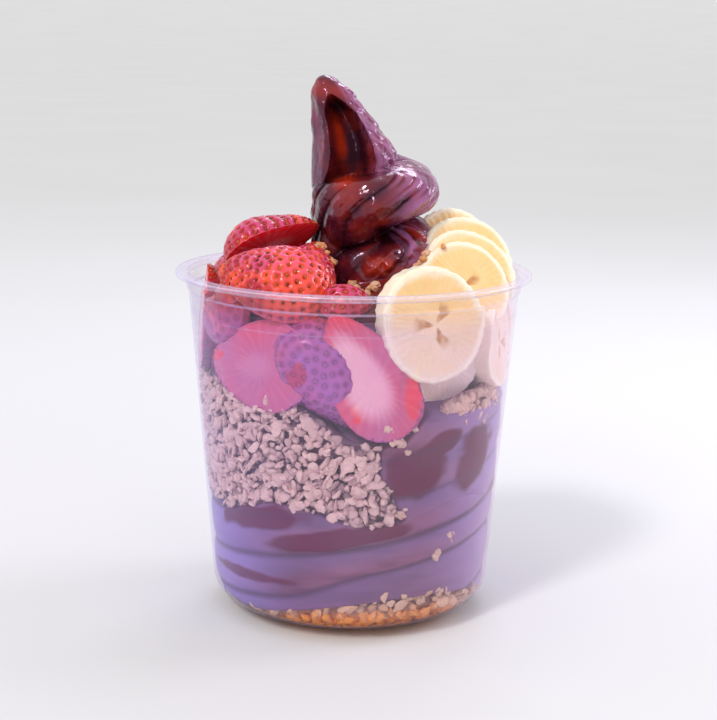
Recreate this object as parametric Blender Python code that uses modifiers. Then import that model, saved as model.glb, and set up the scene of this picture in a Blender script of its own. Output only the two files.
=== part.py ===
"""A clear cup of acai soft serve, layered with granola and topped with strawberries and banana.

Metres, +Z up. The origin is on the cup's axis, on the surface that the cup stands on.
The viewer stands at -Y. An azimuth is 0 at the viewer's side and grows towards +X.
"""

from math import cos, pi, radians, sin

import bmesh
import bpy
import numpy as np
from mathutils import Matrix, Vector
from mathutils.bvhtree import BVHTree

MM = 0.001
GAP = 0.35 * MM                 # air between two pieces that touch
CUTTER_GROWTH = 0.50 * MM       # how far a cutter stands out past the piece it copies
WELD = 0.0015 * MM              # corners closer than this become one

# the clear cup
CUP_HEIGHT = 113.6 * MM
RIM_RADIUS = 58.7 * MM
RIM_THICKNESS = 1.7 * MM
COLLAR_RADIUS = 55.1 * MM
COLLAR_BOTTOM = 107.0 * MM
WALL = 0.7 * MM
WALL_TOP_RADIUS = 54.3 * MM
WALL_FOOT_RADIUS = 46.2 * MM
BASE_CURVE_HEIGHT = 11.0 * MM
BASE_FLAT_RADIUS = 26.0 * MM
CUP_SEGMENTS = 40

# the layers, as heights at the wall
BASE_GRANOLA_TOP = 11.5 * MM
BASE_GRANOLA_WAVE = 4.5 * MM
BASE_GRANOLA_HIGH_SIDE = radians(25)
LOWER_ACAI_TOP = 41.0 * MM
LOWER_ACAI_WAVE = 3.0 * MM
LOWER_ACAI_WAVES = 5
LOWER_ACAI_RISE = 3.5 * MM      # how much higher the right side stands
LOWER_ACAI_LEVEL = 37.5 * MM
LEVEL_SHARE = 0.85              # the poured layers are level out to this share of the radius
MIDDLE_GRANOLA_LOW = 66.5 * MM
MIDDLE_GRANOLA_RISE = 12.5 * MM
MIDDLE_GRANOLA_TILT = 3.0 * MM
MIDDLE_GRANOLA_EDGE = 15.0 * MM  # the layer stops at this x, where the acai reaches the wall
MIDDLE_GRANOLA_LIFT = 1.0 * MM  # air under its core, which its grains bridge
GRANOLA_FIRST = radians(-176)   # the grains run from this azimuth
GRANOLA_LAST = radians(11.5)    # to this one
FRUIT_ZONE_START = 73.0 * MM    # the soft serve steps back from the wall above this height
FRUIT_ZONE_BACK_START = 84.0 * MM
FRUIT_ZONE_DEPTH = 10.0 * MM
SHOULDER_BACK = 99.0 * MM       # where the soft serve turns in from the wall, behind
SHOULDER_RISE = 7.0 * MM        # and how much higher it does so in front
ROPE_HEIGHT = 14.0 * MM
ROPE_FOLD = 1.8 * MM
LAYER_COLUMNS = 36
BASE_COLUMNS = 32

# the soft serve above the cup
SWIRL_TIP = 176.6 * MM
SWIRL_CENTRE_X = 6.8 * MM
ROPE_RADIUS = 20.4 * MM
NECK_TOP = 141.0 * MM
NECK_HALF_WIDTH = 14.4 * MM
NECK_HALF_DEPTH = 12.0 * MM
HORN_LEFT_X = -14.5 * MM
HORN_RIGHT_X = 13.2 * MM
HORN_RIGHT_SLOPE = 0.79
HORN_START = 152.3 * MM
BEAD_RADIUS = 5.2 * MM
TURNS = (-2.0, -1.0, 0.0, 1.0, 2.0)
TURN_HEIGHTS = (79.0 * MM, 105.0 * MM, 131.0 * MM, 149.5 * MM, 168.0 * MM)
ROPE_FULLNESS = 0.4             # below 1 the rope's section is squarer than a half circle
ROPE_TURNS = (-0.45, -0.3, -0.14, -0.05, 0.0, 0.05, 0.2, 0.38, 0.62, 0.8, 0.95, 1.0)
HORN_SHARES = (0.07, 0.16, 0.27, 0.39, 0.51, 0.63, 0.74, 0.83, 0.90, 0.95, 0.98, 0.997)
HOLLOW_BOTTOM = 138.0 * MM
HOLLOW_TOP = 170.0 * MM
HOLLOW_DEPTH = 9.8 * MM
HOLLOW_HALF_ANGLE = radians(42)

# the grains of the granola
GRAIN_LENGTH = 7.4 * MM
GRAIN_THICKNESS = 4.2 * MM
BASE_GRAIN_SPACING = 7.4 * MM
MIDDLE_GRAIN_SPACING = 10.6 * MM
CORE_INSET = 3.0 * MM           # how far a heap's core stays back from the wall
CORE_DROP = 1.5 * MM            # and below the heap's top
SEED = 7

# the clump of granola at the right, under the banana slices
CLUMP_AZIMUTH = radians(57)
CLUMP_LEVEL = 73.0 * MM
CLUMP_WIDTH = 25.0 * MM
CLUMP_HEIGHT = 9.0 * MM
CLUMP_DEPTH = 7.0 * MM
CLUMP_MARGIN = 2.8 * MM         # room that its grains take round the core
CLUMP_ROWS = ((-1, 3), (1, 4))  # a row below the middle with its grains, and one above

# the fan of banana slices faces the viewer, turned to the right and up
FAN_FACING = (0.30, -0.85, 0.43)

COLLECTION = "acai_cup"


def clear_scene():
    for item in list(bpy.data.objects):
        bpy.data.objects.remove(item, do_unlink=True)


def new_collection(name):
    collection = bpy.data.collections.new(name)
    bpy.context.scene.collection.children.link(collection)
    return collection


def material(name, colour, roughness, transmission=0.0):
    made = bpy.data.materials.new(name)
    made.use_nodes = True
    shader = made.node_tree.nodes["Principled BSDF"]
    shader.inputs["Base Color"].default_value = (*colour, 1.0)
    shader.inputs["Roughness"].default_value = roughness
    shader.inputs["Metallic"].default_value = 0.0
    shader.inputs["Transmission Weight"].default_value = transmission
    made.diffuse_color = (*colour, 1.0)
    return made


def add_object(name, mesh, look, collection):
    mesh.name = name
    mesh.materials.clear()
    mesh.materials.append(look)
    piece = bpy.data.objects.new(name, mesh)
    collection.objects.link(piece)
    return piece


def smooth_step(value):
    clipped = np.clip(value, 0.0, 1.0)
    return clipped * clipped * (3.0 - 2.0 * clipped)


def around(columns):
    """The azimuths of a ring's points, from the back over the left, the front and the right."""
    return np.linspace(-pi, pi, columns, endpoint=False)


def wall_radius(height, outer=False):
    """The radius of the cup's wall at a height: an ellipse's arc at the base, then a straight taper."""
    inset = 0.0 if outer else WALL
    low = 0.0 if outer else WALL
    taper = np.clip((height - BASE_CURVE_HEIGHT) / (COLLAR_BOTTOM - BASE_CURVE_HEIGHT), 0.0, 1.2)
    straight = WALL_FOOT_RADIUS + (WALL_TOP_RADIUS - WALL_FOOT_RADIUS) * taper
    drop = np.clip((BASE_CURVE_HEIGHT - height) / (BASE_CURVE_HEIGHT - low), 0.0, 1.0)
    curve = np.sqrt(1.0 - drop * drop)
    bent = BASE_FLAT_RADIUS + (WALL_FOOT_RADIUS - BASE_FLAT_RADIUS) * curve
    return np.where(height < BASE_CURVE_HEIGHT, bent, straight) - inset


def content_radius(height):
    return wall_radius(height) - GAP


def base_granola_top(azimuth):
    return BASE_GRANOLA_TOP + BASE_GRANOLA_WAVE * np.cos(2.0 * (azimuth - BASE_GRANOLA_HIGH_SIDE))


def lower_acai_top(azimuth):
    """Low waves round the wall, and a rise on the right where the soft serve climbs."""
    waves = LOWER_ACAI_WAVE * np.cos(LOWER_ACAI_WAVES * (azimuth + radians(27)))
    rise = LOWER_ACAI_RISE * np.clip(np.sin(azimuth - radians(20)), 0.0, 1.0)
    return LOWER_ACAI_TOP + waves + rise


def lower_acai_surface(azimuth, radius):
    """The poured layer's top: level in the middle, turned up to its wavy edge at the wall."""
    edge = lower_acai_top(azimuth)
    share = (radius / content_radius(LOWER_ACAI_TOP) - LEVEL_SHARE) / (1.0 - LEVEL_SHARE)
    return LOWER_ACAI_LEVEL + (edge - LOWER_ACAI_LEVEL) * np.clip(share, 0.0, 1.0)


def middle_granola_top(azimuth):
    """Low at the front right, where the berries press it down, and high on the left and behind."""
    rise = smooth_step((radians(3) - azimuth) / radians(33))
    behind = smooth_step((azimuth - radians(60)) / radians(60))
    tilt = MIDDLE_GRANOLA_TILT * np.clip(-np.sin(azimuth), 0.0, 1.0)
    return MIDDLE_GRANOLA_LOW + MIDDLE_GRANOLA_RISE * np.maximum(rise, behind) + tilt


def polar(azimuth, radius, height, centre_x=0.0, centre_y=0.0):
    azimuth, radius, height = np.broadcast_arrays(azimuth, radius, height)
    points = np.empty(azimuth.shape + (3,))
    points[..., 0] = centre_x + radius * np.sin(azimuth)
    points[..., 1] = centre_y - radius * np.cos(azimuth)
    points[..., 2] = height
    return points


def loft(name, rows):
    """Joins rings of points, lowest first, into one closed skin with a fan at each end."""
    rings, columns = len(rows), len(rows[0])
    points = np.concatenate(rows)
    ends = np.array([rows[0].mean(axis=0), rows[-1].mean(axis=0)])
    corners = [tuple(p) for p in np.concatenate([points, ends])]
    faces = []
    for ring in range(rings - 1):
        for column in range(columns):
            low = ring * columns
            after = (column + 1) % columns
            faces.append((low + column, low + after, low + columns + after, low + columns + column))
    last = (rings - 1) * columns
    for column in range(columns):
        after = (column + 1) % columns
        faces.append((after, column, rings * columns))
        faces.append((last + column, last + after, rings * columns + 1))
    mesh = bpy.data.meshes.new(name)
    mesh.from_pydata(corners, [], faces)
    bm = bmesh.new()
    bm.from_mesh(mesh)
    bmesh.ops.triangulate(bm, faces=bm.faces, quad_method="SHORT_EDGE")
    bm.to_mesh(mesh)
    bm.free()
    return mesh


def make_cup(look, collection):
    """A turned profile: up the inside, over the rolled rim and down the outside to the base."""
    steps = 5
    inner = [(0.0, WALL)]
    outer = []
    for step in range(steps + 1):
        height = WALL + (BASE_CURVE_HEIGHT - WALL) * (1.0 - cos(pi / 2 * step / steps))
        inner.append((float(wall_radius(height)), height))
    inner.append((float(wall_radius(COLLAR_BOTTOM)), COLLAR_BOTTOM))
    inner.append((COLLAR_RADIUS - WALL, COLLAR_BOTTOM + 1.0 * MM))
    inner.append((COLLAR_RADIUS - WALL, CUP_HEIGHT - 0.6 * MM))
    inner.append((COLLAR_RADIUS - 0.1 * MM, CUP_HEIGHT))
    outer.append((RIM_RADIUS - 0.7 * MM, CUP_HEIGHT))
    outer.append((RIM_RADIUS, CUP_HEIGHT - 0.6 * MM))
    outer.append((RIM_RADIUS, CUP_HEIGHT - RIM_THICKNESS))
    outer.append((COLLAR_RADIUS, CUP_HEIGHT - RIM_THICKNESS))
    outer.append((COLLAR_RADIUS, COLLAR_BOTTOM + 1.0 * MM))
    outer.append((WALL_TOP_RADIUS, COLLAR_BOTTOM))
    for step in range(steps, -1, -1):
        height = BASE_CURVE_HEIGHT * (1.0 - cos(pi / 2 * step / steps))
        outer.append((float(wall_radius(height, outer=True)), height))
    outer.append((0.0, 0.0))
    profile = inner + outer
    mesh = bpy.data.meshes.new("cup")
    corners = [(radius, 0.0, height) for radius, height in profile]
    mesh.from_pydata(corners, [(i, i + 1) for i in range(len(corners) - 1)], [])
    cup = add_object("cup", mesh, look, collection)
    screw = cup.modifiers.new("Turn", "SCREW")
    screw.steps = CUP_SEGMENTS
    screw.render_steps = CUP_SEGMENTS
    screw.use_merge_vertices = True
    screw.merge_threshold = 0.00005
    screw.use_smooth_shade = True
    return cup


def make_base_granola_core():
    azimuth = around(BASE_COLUMNS)
    top = base_granola_top(azimuth) - CORE_DROP
    floor = WALL + GAP
    rows = [polar(azimuth, BASE_FLAT_RADIUS * 0.9, floor)]
    for share in (0.2, 0.5, 1.0):
        height = floor + (top - floor) * share
        rows.append(polar(azimuth, content_radius(height) - CORE_INSET, height))
    rows.append(polar(azimuth, content_radius(top) * 0.6, top))
    return loft("granola_base", rows)


def make_lower_acai(look, collection):
    """Two soft ropes that wind up round the wall, one above the other, with a fold between them."""
    azimuth = around(LAYER_COLUMNS)
    low = base_granola_top(azimuth) + GAP
    top = lower_acai_top(azimuth) - GAP
    rows = [polar(azimuth, content_radius(low) * share, low) for share in (0.4, 0.8)]
    for share in np.linspace(0.0, 1.0, 8):
        height = low + (top - low) * share
        rows.append(polar(azimuth, content_radius(height) - rope_fold(azimuth, height), height))
    for share in (LEVEL_SHARE, 0.4):
        rows.append(polar(azimuth, content_radius(LOWER_ACAI_TOP) * share, LOWER_ACAI_LEVEL - GAP))
    return add_object("acai_lower", loft("acai_lower", rows), look, collection)


def rope_fold(azimuth, height):
    """The depth of the fold between two ropes: 0 on a rope's crown and deepest where they meet."""
    climb = 2.0 * ROPE_HEIGHT * (azimuth / (2.0 * pi) + 0.14 * np.sin(azimuth - radians(30)))
    share = ((height - climb) / ROPE_HEIGHT) % 1.0
    return ROPE_FOLD * (2.0 * np.abs(share - 0.5)) ** 3


def middle_granola_outline(azimuth, inset):
    """How far the layer reaches from the cup's axis: to the wall, or to its straight right edge."""
    to_wall = content_radius(LOWER_ACAI_TOP) - inset
    to_edge = (MIDDLE_GRANOLA_EDGE - inset) / np.maximum(np.sin(azimuth), 0.05)
    return np.minimum(to_wall, to_edge)


def make_middle_granola_core(grow=0.0):
    inset = CORE_INSET - grow
    azimuth = around(LAYER_COLUMNS)
    outline = middle_granola_outline(azimuth, inset)
    level = np.minimum(outline * 0.98, content_radius(LOWER_ACAI_TOP) * LEVEL_SHARE)
    lift = MIDDLE_GRANOLA_LIFT - grow
    rows = [polar(azimuth, level * 0.45, LOWER_ACAI_LEVEL + lift)]
    rows.append(polar(azimuth, level, lower_acai_surface(azimuth, level) + lift))
    low = lower_acai_surface(azimuth, outline) + lift
    top = middle_granola_top(azimuth) + min(grow - CORE_DROP, CUTTER_GROWTH)
    for share in (0.0, 0.33, 0.66, 1.0):
        height = low + (top - low) * share
        flare = content_radius(height) - content_radius(LOWER_ACAI_TOP)
        rows.append(polar(azimuth, outline + flare, height))
    for share in (0.85, 0.4):
        rows.append(polar(azimuth, outline * share, top))
    return loft("granola_middle", rows)


def make_grain(name, place, outward, size, spin, turn):
    """An oat flake: an icosphere pressed flat, its thin side facing outward."""
    bm = bmesh.new()
    bmesh.ops.create_icosphere(bm, subdivisions=1, radius=0.5)
    scale = Matrix.Diagonal((size, size * spin.uniform(0.6, 0.95), GRAIN_THICKNESS, 1.0))
    facing = outward.to_track_quat("Z", "Y").to_matrix().to_4x4()
    rock = Matrix.Rotation(spin.uniform(-0.5, 0.5), 4, "X") @ Matrix.Rotation(turn, 4, "Z")
    bmesh.ops.transform(bm, matrix=Matrix.Translation(place) @ facing @ rock @ scale, verts=bm.verts)
    push = 0.0
    for corner in bm.verts:
        reach = Vector((corner.co.x, corner.co.y, 0.0)).length
        push = max(push, reach - float(content_radius(corner.co.z)))
    flat = Vector((outward.x, outward.y, 0.0)).normalized()
    bmesh.ops.translate(bm, vec=-flat * push, verts=bm.verts)
    mesh = bpy.data.meshes.new(name)
    bm.to_mesh(mesh)
    bm.free()
    return mesh


def base_granola_bottom(azimuth):
    return np.full_like(azimuth, WALL + GAP)


def middle_granola_bottom(azimuth):
    return lower_acai_top(azimuth) + GAP


def wall_grains(low, high, spacing, first, last, seed):
    """Grains set out in staggered rows against the wall, between two heights that vary round it."""
    spin = np.random.default_rng(seed)
    ring = around(LAYER_COLUMNS)
    bottom = float(low(ring).min())
    top = float(high(ring).max())
    step = spacing / float(wall_radius((bottom + top) / 2.0))
    grains = []
    row = 0
    height = bottom
    while height < top:
        azimuth = first + (row % 2) * step / 2.0
        while azimuth < last:
            angle = azimuth + spin.uniform(-0.2, 0.2) * step
            level = height + spin.uniform(-0.2, 0.2) * spacing
            size = GRAIN_LENGTH * spin.uniform(0.8, 1.25)
            turn = spin.uniform(0.0, pi)
            outward = Vector((sin(angle), -cos(angle), 0.0))
            place = outward * (float(content_radius(level)) - GRAIN_THICKNESS * 0.5)
            place.z = level
            margin = size * 0.5
            if float(low(angle)) + margin < level < float(high(angle)) - margin:
                grains.append(make_grain("grain", place, outward, size, spin, turn))
            azimuth += step
        height += spacing * 0.8
        row += 1
    return grains


def keep_largest_shell(mesh):
    """Drops loose scraps and the skins of sealed hollows, and welds what is too close to tell."""
    bm = bmesh.new()
    bm.from_mesh(mesh)
    bmesh.ops.remove_doubles(bm, verts=bm.verts, dist=WELD)
    bmesh.ops.triangulate(bm, faces=bm.faces)
    unseen = set(bm.faces)
    shells = []
    while unseen:
        start = unseen.pop()
        shell = [start]
        queue = [start]
        while queue:
            face = queue.pop()
            for edge in face.edges:
                for other in edge.link_faces:
                    if other in unseen:
                        unseen.discard(other)
                        shell.append(other)
                        queue.append(other)
        shells.append(shell)
    largest = max(shells, key=len)
    drop = [face for shell in shells if shell is not largest for face in shell]
    bmesh.ops.delete(bm, geom=drop, context="FACES")
    bmesh.ops.recalc_face_normals(bm, faces=bm.faces)
    bm.to_mesh(mesh)
    bm.free()
    return mesh


def boolean_mesh(base, others, operation):
    """Cuts or joins a mesh with others in one Boolean on a collection, and returns the result."""
    group = new_collection("boolean_parts")
    holder = bpy.data.objects.new("boolean_base", base)
    bpy.context.scene.collection.objects.link(holder)
    parts = []
    for mesh in others:
        part = bpy.data.objects.new("boolean_part", mesh)
        group.objects.link(part)
        parts.append(part)
    step = holder.modifiers.new("Boolean", "BOOLEAN")
    step.operation = operation
    step.operand_type = "COLLECTION"
    step.collection = group
    step.solver = "MANIFOLD"
    bpy.context.view_layer.update()
    evaluated = holder.evaluated_get(bpy.context.evaluated_depsgraph_get())
    result = bpy.data.meshes.new_from_object(evaluated)
    for part in parts + [holder]:
        bpy.data.objects.remove(part, do_unlink=True)
    bpy.data.collections.remove(group)
    return keep_largest_shell(result)


def clump_mesh(name, growth):
    """A flattened ball pressed against the wall, level with the foot of the banana slices."""
    outward = Vector((sin(CLUMP_AZIMUTH), -cos(CLUMP_AZIMUTH), 0.0))
    bm = bmesh.new()
    bmesh.ops.create_uvsphere(bm, u_segments=14, v_segments=8, radius=1.0)
    size = [part / 2.0 + growth for part in (CLUMP_WIDTH, CLUMP_DEPTH, CLUMP_HEIGHT)]
    bmesh.ops.scale(bm, vec=size, verts=bm.verts)
    bmesh.ops.rotate(bm, matrix=Matrix.Rotation(CLUMP_AZIMUTH, 3, "Z"), verts=bm.verts)
    reach = float(content_radius(CLUMP_LEVEL)) - CLUMP_DEPTH / 2.0 - 1.0 * MM
    bmesh.ops.translate(bm, vec=outward * reach + Vector((0.0, 0.0, CLUMP_LEVEL)), verts=bm.verts)
    mesh = bpy.data.meshes.new(name)
    bm.to_mesh(mesh)
    bm.free()
    return mesh


def clump_grains():
    """Staggered rows of grains along the clump's outer side."""
    spin = np.random.default_rng(SEED + 2)
    grains = []
    for row, count in CLUMP_ROWS:
        for place in range(count):
            along = (place - (count - 1) / 2.0) * GRAIN_LENGTH * 0.78
            angle = CLUMP_AZIMUTH + along / float(content_radius(CLUMP_LEVEL))
            outward = Vector((sin(angle), -cos(angle), 0.0))
            level = CLUMP_LEVEL + row * CLUMP_HEIGHT * 0.27
            spot = outward * (float(content_radius(level)) - GRAIN_THICKNESS * 0.5)
            spot.z = level
            size = GRAIN_LENGTH * spin.uniform(0.6, 0.8)
            grains.append(make_grain("grain", spot, outward, size, spin, spin.uniform(0.0, pi)))
    return grains


def make_granola(name, core, grains, look, collection):
    fused = boolean_mesh(core, grains, "UNION")
    return add_object(name, fused, look, collection)


def grown_mesh(mesh, distance):
    """A copy whose corners have moved out along their normals."""
    bm = bmesh.new()
    bm.from_mesh(mesh)
    bm.normal_update()
    moved = [corner.co + corner.normal * distance for corner in bm.verts]
    for corner, place in zip(bm.verts, moved):
        corner.co = place
    copy = bpy.data.meshes.new("grown")
    bm.to_mesh(copy)
    bm.free()
    return copy


def standing_frame(azimuth, lean, roll, skin_out):
    """Axes of a fruit piece: X along its length, Z out of its skin side, leaning back at the top."""
    outward = Vector((sin(azimuth), -cos(azimuth), 0.0))
    sideways = Vector((cos(azimuth), sin(azimuth), 0.0))
    tilt = Matrix.Rotation(-lean, 3, sideways)
    facing = tilt @ outward
    upward = tilt @ Vector((0.0, 0.0, 1.0))
    length = upward * cos(roll) + sideways * sin(roll)
    skin = facing if skin_out else -facing
    across = skin.cross(length)
    return Matrix((length, across, skin)).transposed()


def room_at(height):
    """The radius that a piece may fill: inside the wall, or above the cup inside the rim's circle."""
    return np.where(height < CUP_HEIGHT + GAP, content_radius(height), RIM_RADIUS - GAP)


def reach_to_wall(points, outward, low, high):
    """How far points can slide outward, between two limits, before they meet the wall."""
    room = room_at(points[:, 2])
    direction = np.array(outward)
    for _ in range(40):
        middle = (low + high) / 2.0
        moved = points + direction * middle
        fits = np.all(np.hypot(moved[:, 0], moved[:, 1]) <= room)
        low, high = (middle, high) if fits else (low, middle)
    return low


def berry_bmesh(length, width, depth):
    """Half a strawberry: a sphere drawn out to a tip at +X, cut flat at its middle, skin at +Z."""
    bm = bmesh.new()
    bmesh.ops.create_uvsphere(bm, u_segments=12, v_segments=8, radius=1.0)
    bmesh.ops.rotate(bm, matrix=Matrix.Rotation(pi / 2, 3, "Y"), verts=bm.verts)
    for corner in bm.verts:
        along = corner.co.x
        taper = 1.10 - 0.34 * (along + 0.35) - 0.10 * along ** 2
        corner.co.x = along * length / 2.0
        corner.co.y *= taper * width / 2.0
        corner.co.z *= taper * depth
    halves = bm.verts[:] + bm.edges[:] + bm.faces[:]
    cut = bmesh.ops.bisect_plane(
        bm, geom=halves, plane_co=(0, 0, 0), plane_no=(0, 0, -1), clear_outer=True
    )
    rim = [item for item in cut["geom_cut"] if isinstance(item, bmesh.types.BMEdge)]
    bmesh.ops.edgenet_fill(bm, edges=rim)
    bmesh.ops.remove_doubles(bm, verts=bm.verts, dist=WELD)
    bmesh.ops.recalc_face_normals(bm, faces=bm.faces)
    return bm


def slice_bmesh(radius, thickness, phase):
    """A banana slice: a short cylinder whose outline is a little uneven, with worn edges."""
    bm = bmesh.new()
    bmesh.ops.create_cone(
        bm, cap_ends=True, segments=18, radius1=radius, radius2=radius, depth=thickness
    )
    for corner in bm.verts:
        angle = np.arctan2(corner.co.y, corner.co.x)
        wobble = 1.0 + 0.028 * sin(2 * angle + phase) + 0.018 * sin(3 * angle - 2 * phase)
        corner.co.x *= wobble
        corner.co.y *= wobble
    sharp = [edge for edge in bm.edges if edge.calc_face_angle() > radians(60)]
    bmesh.ops.bevel(bm, geom=sharp, offset=1.0 * MM, segments=1, affect="EDGES")
    return bm


def place_fruit(name, bm, azimuth, height, frame, inset=0.0):
    """Turns a piece, lifts it to its height and pushes it out until it rests against the wall."""
    outward = Vector((sin(azimuth), -cos(azimuth), 0.0))
    bmesh.ops.transform(bm, matrix=frame.to_4x4(), verts=bm.verts)
    bmesh.ops.translate(bm, vec=(0.0, 0.0, height), verts=bm.verts)
    points = np.array([corner.co[:] for corner in bm.verts])
    reach = reach_to_wall(points, outward, 0.0, 60.0 * MM) - inset
    bmesh.ops.translate(bm, vec=outward * reach, verts=bm.verts)
    bmesh.ops.triangulate(bm, faces=bm.faces)
    mesh = bpy.data.meshes.new(name)
    bm.to_mesh(mesh)
    bm.free()
    return mesh


def berry(name, azimuth, height, length, width, depth, roll, lean=0.0, skin_out=True, inset=0.0):
    frame = standing_frame(radians(azimuth), radians(lean), radians(roll), skin_out)
    bm = berry_bmesh(length * MM, width * MM, depth * MM)
    return place_fruit(name, bm, radians(azimuth), height * MM, frame, inset * MM)


def settle(name, bm, centre):
    """Slides a piece that lies on others in towards the axis until it clears the wall."""
    outward = Vector((centre[0], centre[1], 0.0)).normalized()
    points = np.array([corner.co[:] for corner in bm.verts])
    back = reach_to_wall(points, outward, -25.0 * MM, 0.0)
    bmesh.ops.translate(bm, vec=outward * back, verts=bm.verts)
    bmesh.ops.triangulate(bm, faces=bm.faces)
    mesh = bpy.data.meshes.new(name)
    bm.to_mesh(mesh)
    bm.free()
    return mesh


def free_berry(name, centre, length, width, depth, tip, skin):
    """A half strawberry on top of the others: where its middle is, where its tip and skin point."""
    along = Vector(tip).normalized()
    side = Vector(skin).cross(along).normalized()
    frame = Matrix((along, side, along.cross(side))).transposed()
    bm = berry_bmesh(length * MM, width * MM, depth * MM)
    move = Matrix.Translation(Vector(centre) * MM) @ frame.to_4x4()
    bmesh.ops.transform(bm, matrix=move, verts=bm.verts)
    return settle(name, bm, centre)


def slice_on_wall(name, azimuth, height, radius, thickness, facing, lean, phase, inset=0.0):
    frame = standing_frame(radians(facing), radians(lean), 0.0, True)
    bm = slice_bmesh(radius * MM, thickness * MM, phase)
    return place_fruit(name, bm, radians(azimuth), height * MM, frame, inset * MM)


def free_slice(name, centre, radius, thickness, facing, phase):
    normal = Vector(facing).normalized()
    bm = slice_bmesh(radius * MM, thickness * MM, phase)
    turn = normal.to_track_quat("Z", "Y").to_matrix().to_4x4()
    bmesh.ops.transform(bm, matrix=Matrix.Translation(Vector(centre) * MM) @ turn, verts=bm.verts)
    return settle(name, bm, centre)


def berry_meshes():
    """Each half strawberry, the ones that lie on top or against the wall first.

    On top: where its middle is, its length, width and depth, where its tip and its skin point.
    Against the wall: azimuth, height, length, width, depth, roll and lean.
    """
    return [
        free_berry(
            "strawberry_front_top", (-26.5, -35, 112.5), 38, 27, 13, (-33, 9, 8), (-0.1, -0.55, 0.8)
        ),
        free_berry("strawberry_back_top", (-26, -13, 122), 33, 24, 11, (26, 2, 13), (-0.35, 0.55, 0.75)),
        free_berry("strawberry_small_wet", (-2, -41, 108), 17, 13, 7, (1, 0.2, 0.1), (0, -0.5, 0.85)),
        free_berry(
            "strawberry_behind_front", (-15, -22, 115), 22, 20, 12, (0.3, 0.4, 0.8), (0.2, -0.8, 0.5)
        ),
        berry("strawberry_half_white", 6.5, 87, 45, 27, 11, -29, 4, skin_out=False),
        berry("strawberry_front_skin", -9, 85.5, 41, 30, 13, 150, 3),
        berry("strawberry_left_skin", -56, 105.5, 30, 19, 9, 20, 2),
        berry("strawberry_left_cut", -36, 88, 40, 26, 12, -100, 4, skin_out=False),
        berry("strawberry_far_left", -82, 98, 36, 24, 11, 5, 4, skin_out=False),
        berry("strawberry_back_skin", -116, 100, 38, 28, 13, 170, 4),
        berry("strawberry_back_cut", -148, 99, 40, 26, 12, -20, 5, skin_out=False),
    ]


def banana_meshes():
    """Each slice, the front one first, then the fan that leans back on the soft serve.

    Against the wall: azimuth, height, radius, thickness, facing, lean and the phase of its outline.
    In the fan: where its middle is, radius, thickness, facing and phase.
    """
    return [
        slice_on_wall("banana_front", 31, 102.5, 17.8, 7.0, 27, 3, 0.4),
        free_slice("banana_fan_1", (38.0, -21.5, 110.0), 15.6, 6.6, FAN_FACING, 1.3),
        free_slice("banana_fan_2", (39.0, -13.0, 113.0), 15.6, 6.4, FAN_FACING, 2.2),
        free_slice("banana_fan_3", (36.5, -4.0, 116.0), 15.8, 6.4, FAN_FACING, 3.4),
        free_slice("banana_fan_4", (32.5, 5.0, 117.5), 15.6, 6.4, FAN_FACING, 4.1),
        slice_on_wall("banana_low", 38, 92.0, 16.4, 6.6, 32, -8, 5.0, inset=3.0),
        slice_on_wall("banana_right", 72, 92.0, 14.6, 6.6, 74, 3, 5.6),
        slice_on_wall("banana_back_right", 108, 96.0, 16.4, 7.0, 108, 5, 0.9),
        slice_on_wall("banana_back", 143, 100.0, 16.0, 6.6, 140, 12, 2.8),
    ]


def meet(first, second):
    trees = []
    for mesh in (first, second):
        bm = bmesh.new()
        bm.from_mesh(mesh)
        trees.append(BVHTree.FromBMesh(bm))
        bm.free()
    return bool(trees[0].overlap(trees[1]))


def fit_fruit_together(meshes, beds):
    """Where two pieces would cross, the later one in the list is pressed back by the earlier one.

    All of them are flattened where they press into the granola under them.
    """
    fitted = []
    cutters = list(beds)
    for mesh in meshes:
        name = mesh.name
        whole = grown_mesh(mesh, CUTTER_GROWTH)
        pressing = [cutter for cutter in cutters if meet(mesh, cutter)]
        if pressing:
            mesh = boolean_mesh(mesh, pressing, "DIFFERENCE")
        fitted.append((name, mesh))
        cutters.append(whole)
    return fitted, cutters


def turn_phase(height):
    """Counts the turns of the soft serve from the crease at the right of its upper turn."""
    return np.interp(height, TURN_HEIGHTS, TURNS)


def turn_height(azimuth, turn):
    """The height of a turn's point: it climbs with the rope across the front, and falls back behind."""
    climb = np.arcsin(np.sin(azimuth))
    return np.interp(turn + (climb - pi / 2.0) / (2.0 * pi), TURNS, TURN_HEIGHTS)


def swirl_section(azimuth, height):
    """The neck and the horn: an oval whose left side is upright and whose right side slants in."""
    height = np.asarray(height, dtype=float)
    right = HORN_RIGHT_X - HORN_RIGHT_SLOPE * np.clip(height - HORN_START, 0.0, None)
    half_width = np.minimum((right - HORN_LEFT_X) / 2.0, NECK_HALF_WIDTH)
    centre = HORN_LEFT_X + half_width
    under_horn = smooth_step((NECK_TOP - height) / (20.0 * MM))
    centre = centre + (SWIRL_CENTRE_X - centre) * under_horn
    half_depth = NECK_HALF_DEPTH * half_width / NECK_HALF_WIDTH + 0.8 * MM
    from_tip = np.clip((SWIRL_TIP - height) / (BEAD_RADIUS * 1.1), 0.0, 1.0)
    rounding = np.sqrt(1.0 - (1.0 - from_tip) ** 2)
    half_width = np.maximum(half_width, BEAD_RADIUS) * rounding
    half_depth = np.maximum(half_depth, BEAD_RADIUS) * rounding
    oval = 1.0 / np.sqrt((np.sin(azimuth) / half_width) ** 2 + (np.cos(azimuth) / half_depth) ** 2)
    return centre, oval


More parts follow.
